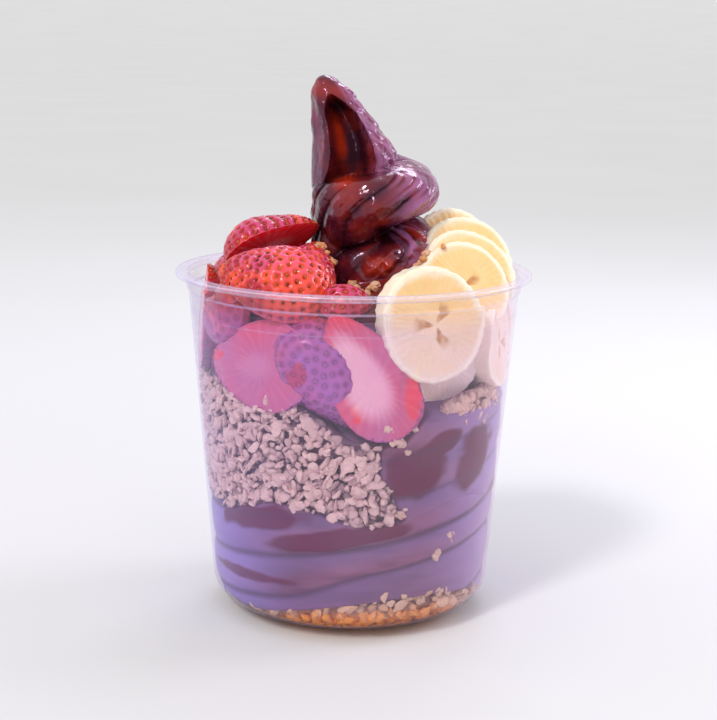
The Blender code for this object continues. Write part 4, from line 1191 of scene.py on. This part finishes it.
def berry_parts(length, width, depth, pit, seed):
    """The half berry with a pit round each seed: its points, masks, seeds and which way it faces."""
    points, unit, cut = berry_grid(length, width, depth)
    seeds, seed_units = berry_seeds(length, width, depth)
    nearest = np.full(cut.shape, 1.0)
    for place in seeds:
        nearest = np.minimum(nearest, np.linalg.norm(points - place, axis=-1))
    dent = bell(nearest / PIT_RADIUS) * (1.0 - cut)
    outward = normalised(unit / np.array([length / 2, width / 2, depth]))
    waves = 0.35 * MM * fractal(points + seed, 8 * MM, seed % 7) * (1.0 - 0.8 * cut)
    swell = 0.22 * MM * (1.0 - cut)
    # where the painted highlight net lies
    ridge = ease_up(nearest, 1.0 * MM, 0.5 * MM) * (1.0 - cut)
    points = points + outward * (waves + swell - pit * dent)[..., None]
    return points, cut, dent, unit, seeds - seed_units * pit * 0.55, ridge, outward


def heart_share(unit, cut, pale):
    """The pale heart of the cut face: an oval with fine rays, strongest towards the stalk."""
    angle = np.arctan2(unit[..., 1], unit[..., 0] + 0.12)
    reach = np.hypot((unit[..., 0] - 0.05) / 0.95, (unit[..., 1] + 0.22 * pale) / 0.8)
    rays = 0.07 * np.sin(angle * 26.0) + 0.04 * np.sin(angle * 41.0 + 1.0)
    heart = 1.0 - ease_up(reach - 0.12, 0.45 * pale, 0.42)
    return cut * np.clip(heart * min(1.0, 0.25 + pale) + rays * ease_up(reach, 0.15, 0.3), 0.0, 1.0)


# node, then azimuth, height, length, width, depth, roll, lean, skin out, paleness of the cut face,
# how far it is pushed out and how far its patch lies behind the wall
WALL_BERRIES = (
    ("strawberry_half_white", 5.8, 87.5, 44, 25, 11, -30, 4, False, 0.75, 3.0, 0.3),
    ("strawberry_front_skin", -11, 86.5, 40, 25, 13, 145, 3, True, 0.3, 2.4, 0.05),
    ("strawberry_left_skin", -56, 105.5, 30, 19, 9, 20, 2, True, 0.3, 1.6, 0.0),
    ("strawberry_left_cut", -37, 88.5, 40, 28, 12, -97, 4, False, 0.0, 2.2, 0.5),
    ("strawberry_far_left", -82, 98, 36, 24, 11, 5, 4, False, 0.6, 0.8, 0.4),
    ("strawberry_back_skin", -116, 100, 38, 28, 13, 170, 4, True, 0.3, 1.8, 0.0),
    ("strawberry_back_cut", -148, 99, 40, 26, 12, -20, 5, False, 0.6, 0.8, 0.2),
)
# node, then centre, length, width, depth, where its tip and its skin point, ripeness
TOP_BERRIES = (
    ("strawberry_front_top", (-26.5, -35, 112.5), 38, 27, 13, (-33, 9, 8), (-0.1, -0.55, 0.8), 1.0),
    ("strawberry_back_top", (-26, -13, 122), 33, 24, 11, (26, 2, 13), (-0.35, 0.55, 0.75), 0.0),
    ("strawberry_small_wet", (-2, -41, 108), 17, 13, 7, (1, 0.2, 0.1), (0, -0.5, 0.85), 0.1),
    ("strawberry_behind_front", (-15, -22, 115), 22, 20, 12, (0.3, 0.4, 0.8), (0.2, -0.8, 0.5), 0.6),
)
# node, then azimuth, height, radius, thickness, facing, lean, phase, inset
WALL_SLICES = (
    ("banana_front", 31, 102.5, 17.8, 7.0, 27, 3, 0.4, 0.0),
    ("banana_low", 38, 92.0, 16.4, 6.6, 32, -8, 5.0, 3.0),
    ("banana_right", 72, 92.0, 14.6, 6.6, 74, 3, 5.6, 0.0),
    ("banana_back_right", 108, 96.0, 16.4, 7.0, 108, 5, 0.9, 0.0),
    ("banana_back", 143, 100.0, 16.0, 6.6, 140, 12, 2.8, 0.0),
)
FAN_FACING = (0.30, -0.85, 0.43)
# node, then centre, radius, thickness, phase
FAN_SLICES = (
    ("banana_fan_1", (38.0, -21.5, 110.0), 15.6, 6.6, 1.3),
    ("banana_fan_2", (39.0, -13.0, 113.0), 15.6, 6.4, 2.2),
    ("banana_fan_3", (36.5, -4.0, 116.0), 15.8, 6.4, 3.4),
    ("banana_fan_4", (32.5, 5.0, 117.5), 15.6, 6.4, 4.1),
)


def wall_shift(points, azimuth, height, inset):
    """Lifts points to a height and finds the move that rests them against the wall."""
    outward = np.array([sin(azimuth), -cos(azimuth), 0.0])
    lifted = points.reshape(-1, 3) + np.array([0.0, 0.0, height])
    reach = reach_to_wall(lifted, outward, 0.0, 60 * MM) - inset
    return np.array([0.0, 0.0, height]) + outward * reach


def settle_shift(points, centre):
    """Moves a piece that lies on others in towards the axis until it clears the wall."""
    outward = np.array([centre[0], centre[1], 0.0])
    outward = outward / np.linalg.norm(outward)
    return outward * reach_to_wall(points.reshape(-1, 3), outward, -25 * MM, 0.0)


def facing_axes(tip, skin):
    """Axes of a fruit piece from where its tip and its skin point."""
    along = Vector(tip).normalized()
    side = Vector(skin).cross(along).normalized()
    return np.array([along, side, along.cross(side)])


def press_to_wall(points, push, under, tuck=0.0):
    """Pushes a piece out a little and flattens what would leave the plastic, as a wet patch.

    The patch lies a little further in than the wall, so that the piece in front of it covers it. Its
    right side can be tucked in under the front banana slice.
    """
    at_right = ease_up(azimuth_of(points), radians(13), radians(8)) * ease_up(points[..., 2], 79 * MM, 6 * MM)
    room = fill_radius(points[..., 2]) - under - tuck * at_right
    reach = reach_of(points)
    scale = np.minimum(reach + push, room) / np.maximum(reach, 1e-9)
    moved = points.copy()
    moved[..., :2] *= np.where(points[..., 2] < COLLAR_BOTTOM, scale, 1.0)[..., None]
    return moved


def film_share(points, strength, seed):
    """How pale the wall's mist makes a piece: nothing above the collar, cloudy below it."""
    height, azimuth = points[..., 2], np.degrees(azimuth_of(points))
    below = ease_down(height, COLLAR_BOTTOM + 3 * MM, 11 * MM)
    near = 0.35 + 0.65 * ease_up(reach_of(points) - fill_radius(height), -12 * MM, 9 * MM)
    cloud = 0.85 + 0.2 * fractal(points, 12 * MM, seed)
    ragged = 0.35 * noise(points, 2.5 * MM, seed)
    clear = 0.0
    for middle, level, half_width, half_height in CLEAR_SPOTS:
        off = np.hypot((azimuth - middle) / half_width, (height / MM - level) / half_height)
        clear = np.maximum(clear, ease_down(off - ragged, 1.25, 0.35))
    return np.clip(strength * below * near * cloud * (1.0 - 0.62 * clear), 0.0, 1.0)


def slice_grid(radius, thickness, phase):
    """A slice's face, worn edge, side and back, as rings; its outline is a little uneven."""
    turn = around(176)
    face = np.linspace(0.02, 0.94, 40)
    curve = np.linspace(0.0, pi / 2, 8)
    worn_out, worn_in = 0.94 + 0.06 * np.sin(curve), 0.94 + 0.06 * np.cos(curve)
    share = np.concatenate([face, worn_out, [1.0, 1.0], worn_in, face[::-1]])[::-1, None]
    half, worn = thickness / 2.0, 1.0 * MM
    level = np.concatenate([
        np.full(len(face), half), half - worn + worn * np.cos(curve), [half * 0.4, -half * 0.4],
        -half + worn - worn * np.sin(curve), np.full(len(face), -half),
    ])[::-1, None]
    wobble = 1.0 + 0.028 * np.sin(2 * turn + phase) + 0.018 * np.sin(3 * turn - 2 * phase)
    scallop = 1.0 + 0.006 * np.sin(turn * 31 + 2 * np.sin(turn * 3)) * ease_up(share, 0.85, 0.1)
    reach = share * radius * wobble * scallop
    points = point_grid(reach * np.cos(turn), reach * np.sin(turn), level)
    return points, share + 0.0 * turn, turn + 0.0 * share


def slice_parts(radius, thickness, phase):
    """The slice with its relief, its warm middle and its three rays of seed marks."""
    points, share, turn = slice_grid(radius, thickness, phase)
    top = np.sign(points[..., 2])
    swirl = turn + phase + 0.25 * np.sin(6.0 * share)
    rays = np.cos(3.0 * swirl / 2.0) ** 2 + 0.10 * noise(points, 1.6 * MM, 24)
    mark = ease_up(rays, 0.70, 0.2) * ease_up(share, 0.03, 0.06) * ease_down(share, 0.5, 0.24)
    ragged = 0.5 + 0.5 * noise(points * np.array([1.0, 1.0, 0.2]), 1.3 * MM, 16)
    face = ease_down(share, 0.92, 0.04)
    mark = mark * (0.35 + 0.65 * smooth_step(ragged)) * face
    ridge = 0.10 * MM * np.sin(turn * 44 + 3 * np.sin(5 * turn)) * ease_up(share, 0.45, 0.2) * face
    dish = -0.35 * MM * ease_down(share, 0.5, 0.4) - 0.25 * MM * mark
    points[..., 2] += top * face * (dish + ridge + 0.25 * MM * fractal(points, 5 * MM, 17))
    side = (1.0 - face) * 0.3 * MM * fractal(points, 3 * MM, 18)
    points[..., :2] *= (1.0 + side / radius)[..., None]
    middle = ease_down(share - 0.05 * noise(points, 4 * MM, 19), 0.98, 0.20)
    return points, middle * face, np.clip(mark, 0.0, 1.0)


def berry_place(row, on_wall, plain):
    """The axes of a half berry and its move to its place, from its row in the lists above."""
    if on_wall:
        azimuth = radians(row[1])
        axes = standing_axes(azimuth, radians(row[7]), radians(row[6]), row[8])
        return axes, wall_shift(plain @ axes, azimuth, row[2] * MM, 0.0)
    axes = facing_axes(row[5], row[6])
    shift = np.array(row[1]) * MM
    return axes, shift + settle_shift(plain @ axes + shift, row[1])


def add_berries(settings):
    """Each half strawberry in its node's place, and all the seeds as one piece."""
    look = strawberry_look(settings)
    seeds, facing = [], []
    for number, row in enumerate((*WALL_BERRIES, *TOP_BERRIES)):
        on_wall = number < len(WALL_BERRIES)
        size = [value * MM for value in (row[3:6] if on_wall else row[2:5])]
        pit = 0.35 * MM if on_wall else 0.85 * MM
        points, cut, dent, unit, places, ridge, outward = berry_parts(*size, pit, number)
        axes, shift = berry_place(row, on_wall, berry_grid(*size)[0])
        points = points @ axes + shift
        places = places @ axes + shift
        pale, ripe, mist = 0.05, row[7], 0.7
        if on_wall:
            pale, ripe, mist = row[9], 0.0, 0.92 if row[8] else 0.8
            press = (row[10] * MM, row[11] * MM, 2.6 * MM if row[0] == "strawberry_half_white" else 0.0)
            points = press_to_wall(points, *press)
            places = press_to_wall(places, *press)
        mesh = ring_mesh(row[0], points)
        ripe_share = ripe * ease_down(unit[..., 0], 0.25, 0.7) * (1.0 - 0.6 * dent)
        # the painted highlight net is strongest where the skin faces up
        ridge = ridge * (0.25 + 0.75 * ease_up((outward @ axes)[..., 2], 0.25, 0.6))
        film = film_share(points, mist, 20 + number)
        heart = heart_share(unit, cut, pale)
        paint(mesh, cut=cut, ripe=ripe_share, heart=heart, film=film, pit=dent, ridge=ridge)
        add_piece(row[0], mesh, look, [row[0]])
        seeds.append(places)
        facing.append(normalised(places - points.reshape(-1, 3).mean(axis=0)))
    seeds, facing = np.concatenate(seeds), np.concatenate(facing)
    count = len(seeds)
    sizes = np.full(count, 1.3 * MM)
    mesh = scatter("strawberry_seeds", seeds, facing * 4.0, sizes, 0.6 * MM, np.zeros(count), SEED + 5, 1.0)
    add_piece("strawberry_seeds", mesh, seed_look())


def add_slice(name, placed, middle, mark, mist, look):
    """One banana slice in its node's place."""
    mesh = ring_mesh(name, placed)
    paint(mesh, middle=middle, mark=mark, film=film_share(placed, mist, 30))
    add_piece(name, mesh, look, [name])


def add_slices(settings):
    """The banana slices against the wall, then the fan of slices on top."""
    look = banana_look(settings)
    for name, azimuth, height, radius, thickness, facing, lean, phase, inset in WALL_SLICES:
        points, middle, mark = slice_parts(radius * MM, thickness * MM, phase)
        placed = points @ standing_axes(radians(facing), radians(lean), 0.0, True)
        placed = placed + wall_shift(placed, radians(azimuth), height * MM, inset * MM)
        if inset == 0.0:
            placed = press_to_wall(placed, 1.3 * MM, 0.0)
        add_slice(name, placed, middle, mark, 0.78 if inset == 0.0 else 1.5, look)
    turn = np.array(Vector(FAN_FACING).normalized().to_track_quat("Z", "Y").to_matrix().transposed())
    for name, centre, radius, thickness, phase in FAN_SLICES:
        points, middle, mark = slice_parts(radius * MM, thickness * MM, phase)
        placed = points @ turn + np.array(centre) * MM
        add_slice(name, placed + settle_shift(placed, centre), middle, mark, 0.75, look)


class ACAI_OT_cup(bpy.types.Operator):
    """Turns the clear cup"""

    bl_idname = "acai.cup"
    bl_label = "Cup"

    def execute(self, context):
        settings = context.scene.acai_cup.cup
        profile, inner = cup_profile()
        azimuth = around(CUP_COLUMNS)
        rows = polar(azimuth, profile[:, [0]], profile[:, [1]])
        mesh = ring_mesh("cup_clear", rows[::-1])
        last_corner = len(rows) * CUP_COLUMNS - 1
        firsts = np.empty(len(mesh.polygons), dtype=np.int32)
        mesh.polygons.foreach_get("loop_start", firsts)
        corners = np.empty(len(mesh.loops), dtype=np.int32)
        mesh.loops.foreach_get("vertex_index", corners)
        ring = (len(rows) - 1) - np.minimum(corners[firsts], last_corner) // CUP_COLUMNS
        mesh.polygons.foreach_set("material_index", (ring <= inner).astype(np.int32))
        colours = (settings.haze_left, settings.haze_right)
        outer_look = plastic_look("clear_plastic", settings.haze, *colours, 1.0)
        inner_look = plastic_look("clear_plastic_inside", settings.haze * 0.1, *colours, 0.2)
        add_piece("cup_clear", mesh, [outer_look, inner_look], ["cup"])
        return {"FINISHED"}


class ACAI_OT_soft_serve(bpy.types.Operator):
    """Winds the lower layer, packs the filling above it and pipes the curl"""

    bl_idname = "acai.soft_serve"
    bl_label = "Soft serve"

    def execute(self, context):
        settings = context.scene.acai_cup.soft_serve
        packed = packed_soft_serve_look(settings)
        add_piece("acai_lower_layer", lower_soft_serve_mesh(), packed, ["acai_lower"])
        add_piece("acai_packed", packed_mesh(), packed, ["acai_swirl"])
        add_piece("acai_curl", curl_mesh(settings.groove), soft_serve_look(settings), ["acai_swirl"])
        return {"FINISHED"}


class ACAI_OT_granola(bpy.types.Operator):
    """Heaps the granola on the base, in the middle and in the clump at the right"""

    bl_idname = "acai.granola"
    bl_label = "Granola"

    def execute(self, context):
        settings = context.scene.acai_cup.granola
        look = granola_look("granola", settings)
        spin = np.random.default_rng(SEED)
        add_piece("granola_middle_core", middle_core_mesh(), look, ["granola_middle"])
        spacing = settings.flake * 0.6
        places, outward = wall_places(spin, radians(-202), radians(26), 38 * MM, 84 * MM, spacing)
        azimuth = azimuth_of(places)
        above = (places[:, 2] - 90 * MM) / (12.6 * MM)
        under_fruit = np.hypot((azimuth + radians(40)) / radians(23), above) < 1.0
        kept = (granola_region(azimuth, places[:, 2]) > 0.4) & ~under_fruit
        places, outward = places[kept], outward[kept]
        sizes = settings.flake * spin.uniform(0.38, 1.15, len(places))
        shades = spin.uniform(0, 1.0, len(places)) ** 1.5
        mesh = scatter("granola_middle_flakes", places, outward, sizes, 1.5 * MM, shades, SEED, 0.55)
        add_piece("granola_middle_flakes", mesh, look, ["granola_middle"])

        add_piece("granola_base_core", base_core_mesh(), look, ["granola_base"])
        places, outward = wall_places(spin, -pi, pi, 1.5 * MM, 17 * MM, settings.flake * 0.8)
        azimuth = azimuth_of(places)
        kept = places[:, 2] < base_granola_top(azimuth) - 0.5 * MM
        places, outward, azimuth = places[kept], outward[kept], azimuth[kept]
        sizes = settings.flake * spin.uniform(0.6, 1.3, len(places))
        shades = spin.uniform(0, 0.6, len(places))
        syrup = base_syrup(azimuth, places[:, 2])
        mesh = scatter("granola_base_flakes", places, outward, sizes, 2.0 * MM, shades, SEED + 1, 0.06, syrup)
        add_piece("granola_base_flakes", mesh, look, ["granola_base"])

        add_piece("granola_clump_core", clump_core_mesh(), look, ["granola_clump"])
        places, outward = clump_places(spin, 190)
        sizes = settings.flake * spin.uniform(0.6, 1.1, len(places))
        shades = spin.uniform(0, 0.5, len(places))
        mesh = scatter("granola_clump_flakes", places, outward, sizes, 1.8 * MM, shades, SEED + 2, 0.4)
        add_piece("granola_clump_flakes", mesh, look, ["granola_clump"])
        return {"FINISHED"}


class ACAI_OT_crumbs(bpy.types.Operator):
    """Drops loose crumbs on top and leaves a few against the wall"""

    bl_idname = "acai.crumbs"
    bl_label = "Loose crumbs"

    def execute(self, context):
        look = granola_look("loose_granola", context.scene.acai_cup.granola)
        spin = np.random.default_rng(SEED + 20)
        graph = context.evaluated_depsgraph_get()
        places, outward = [], []
        for x, y, spread_x, spread_y, count in TOP_CRUMBS:
            for across, along in spin.normal(0.0, 1.0, (count, 2)):
                start = ((x + across * spread_x) * MM, (y + along * spread_y) * MM, 132.5 * MM)
                hit, place, normal, *_ = context.scene.ray_cast(graph, start, (0.0, 0.0, -1.0))
                if hit and place.z > 100 * MM and normal.z > 0.2:
                    places.append(place + normal * 0.5 * MM)
                    outward.append(normal)
        middle = len(places)
        for azimuth, level, count in WALL_CRUMBS:
            angle = radians(azimuth) + spin.normal(0.0, 1.1, count) * MM / (50 * MM)
            height = level * MM + spin.normal(0.0, 0.9, count) * MM
            places.extend(polar(angle, fill_radius(height) - spin.uniform(0.6, 1.6, count) * MM, height))
            outward.extend(polar(angle, 1.0, np.zeros(count)))
        count = len(places)
        shades = spin.uniform(0.0, 0.8, count)
        syrup = np.where(np.arange(count) < middle, spin.uniform(0.1, 0.6, count), 0.0)
        sizes = spin.uniform(1.8, 3.6, count) * MM
        places, outward = np.array(places), np.array(outward)
        mesh = scatter("granola_crumbs", places, outward, sizes, 1.9 * MM, shades, SEED + 21, 0.35, syrup)
        add_piece("granola_crumbs", mesh, look)
        return {"FINISHED"}


class ACAI_OT_strawberries(bpy.types.Operator):
    """Cuts the strawberries in half and sets them in their places"""

    bl_idname = "acai.strawberries"
    bl_label = "Strawberries"

    def execute(self, context):
        add_berries(context.scene.acai_cup.fruit)
        return {"FINISHED"}


class ACAI_OT_bananas(bpy.types.Operator):
    """Slices the banana and sets the slices in their places"""

    bl_idname = "acai.bananas"
    bl_label = "Bananas"

    def execute(self, context):
        add_slices(context.scene.acai_cup.fruit)
        return {"FINISHED"}


def area_light(name, place, size, power, colour):
    """One rectangular lamp at a place, turned to face the middle of the cup."""
    light = bpy.data.lights.new(name, "AREA")
    light.shape = "RECTANGLE"
    light.size, light.size_y = size
    light.energy = power
    light.color = colour
    lamp = link_object(name, light)
    lamp.location = place
    lamp.rotation_euler = (Vector(LAMP_TARGET) - Vector(place)).to_track_quat("-Z", "Y").to_euler()


def add_stage():
    """A wide pale floor that curves up far away, so that it fills the view from any side."""
    turn = np.linspace(0.0, pi / 2, 12)
    radius = np.concatenate([[0.02, 0.5, 2.0, 5.0], 8.0 + 7.0 * np.sin(turn), [15.3]])
    rise = np.concatenate([np.zeros(4), 0.7 * (1.0 - np.cos(turn)), [1.6]])
    mesh = ring_mesh("floor", polar(around(96), radius[::-1, None], rise[::-1, None] - 0.05 * MM))
    keep = bmesh.new()
    keep.from_mesh(mesh)
    keep.verts.ensure_lookup_table()
    bmesh.ops.delete(keep, geom=[keep.verts[len(keep.verts) - 2]], context="VERTS")
    keep.to_mesh(mesh)
    keep.free()
    look = Look("studio_paper")
    paper = look.mix(look.ramp(look.noise(0.3, 3.0), 0.3, 0.7), (0.70, 0.70, 0.70), (0.715, 0.715, 0.715))
    mesh.materials.append(look.set(Base_Color=paper, Roughness=1.0, Specular_IOR_Level=0.0))
    floor = link_object("floor", mesh)


def add_sun(name, direction, strength, angle, colour):
    """Broad daylight that shines along a direction."""
    light = bpy.data.lights.new(name, "SUN")
    light.energy = strength
    light.angle = angle
    light.color = colour
    lamp = link_object(name, light)
    lamp.rotation_euler = Vector(direction).to_track_quat("-Z", "Y").to_euler()


class ACAI_OT_stage(bpy.types.Operator):
    """Lays the pale floor, hangs the soft lights and sets up the camera"""

    bl_idname = "acai.stage"
    bl_label = "Stage"

    def execute(self, context):
        add_stage()
        add_sun("daylight", (0.5, 0.75, -0.9), 1.08, radians(9), (1.0, 0.98, 0.96))
        for lamp in LAMPS:
            area_light(*lamp)
        world = bpy.data.worlds.new("studio")
        world.use_nodes = True
        sky = world.node_tree.nodes["Background"]
        sky.inputs["Color"].default_value = (0.98, 0.98, 1.0, 1.0)
        sky.inputs["Strength"].default_value = 0.80
        context.scene.world = world
        context.scene.view_settings.view_transform = "Standard"
        data = bpy.data.cameras.new("photo_camera")
        data.lens = CAMERA_LENS
        data.clip_start = 0.01
        camera = link_object("photo_camera", data)
        axes = Matrix((CAMERA_RIGHT, CAMERA_UP, -Vector(CAMERA_FORWARD))).transposed()
        camera.matrix_world = Matrix.Translation(CAMERA_PLACE) @ axes.to_4x4()
        context.scene.camera = camera
        return {"FINISHED"}


class ACAI_PT_panel(bpy.types.Panel):
    """Lists the steps in the 3D view's sidebar"""

    bl_label = "Acai cup"
    bl_idname = "ACAI_PT_panel"
    bl_space_type = "VIEW_3D"
    bl_region_type = "UI"
    bl_category = "Acai"

    def draw(self, context):
        for step in STEPS:
            self.layout.operator(step.bl_idname)


STEPS = (
    ACAI_OT_stage, ACAI_OT_cup, ACAI_OT_soft_serve, ACAI_OT_granola, ACAI_OT_strawberries, ACAI_OT_bananas,
    ACAI_OT_crumbs,
)
GROUPS = (SoftServeSettings, GranolaSettings, FruitSettings, CupSettings, AcaiCupSettings)


def register():
    """Adds the settings, the operators and the panel."""
    for item in (*GROUPS, *STEPS, ACAI_PT_panel):
        bpy.utils.register_class(item)
    bpy.types.Scene.acai_cup = bpy.props.PointerProperty(type=AcaiCupSettings)


def unregister():
    """Takes them away again."""
    del bpy.types.Scene.acai_cup
    for item in (ACAI_PT_panel, *reversed(STEPS), *reversed(GROUPS)):
        bpy.utils.unregister_class(item)


def main():
    """Builds every piece and the stage in order."""
    register()
    bpy.ops.acai.stage()
    bpy.ops.acai.cup()
    bpy.ops.acai.soft_serve()
    bpy.ops.acai.granola()
    bpy.ops.acai.strawberries()
    bpy.ops.acai.bananas()
    bpy.ops.acai.crumbs()


if __name__ == "__main__":
    main()
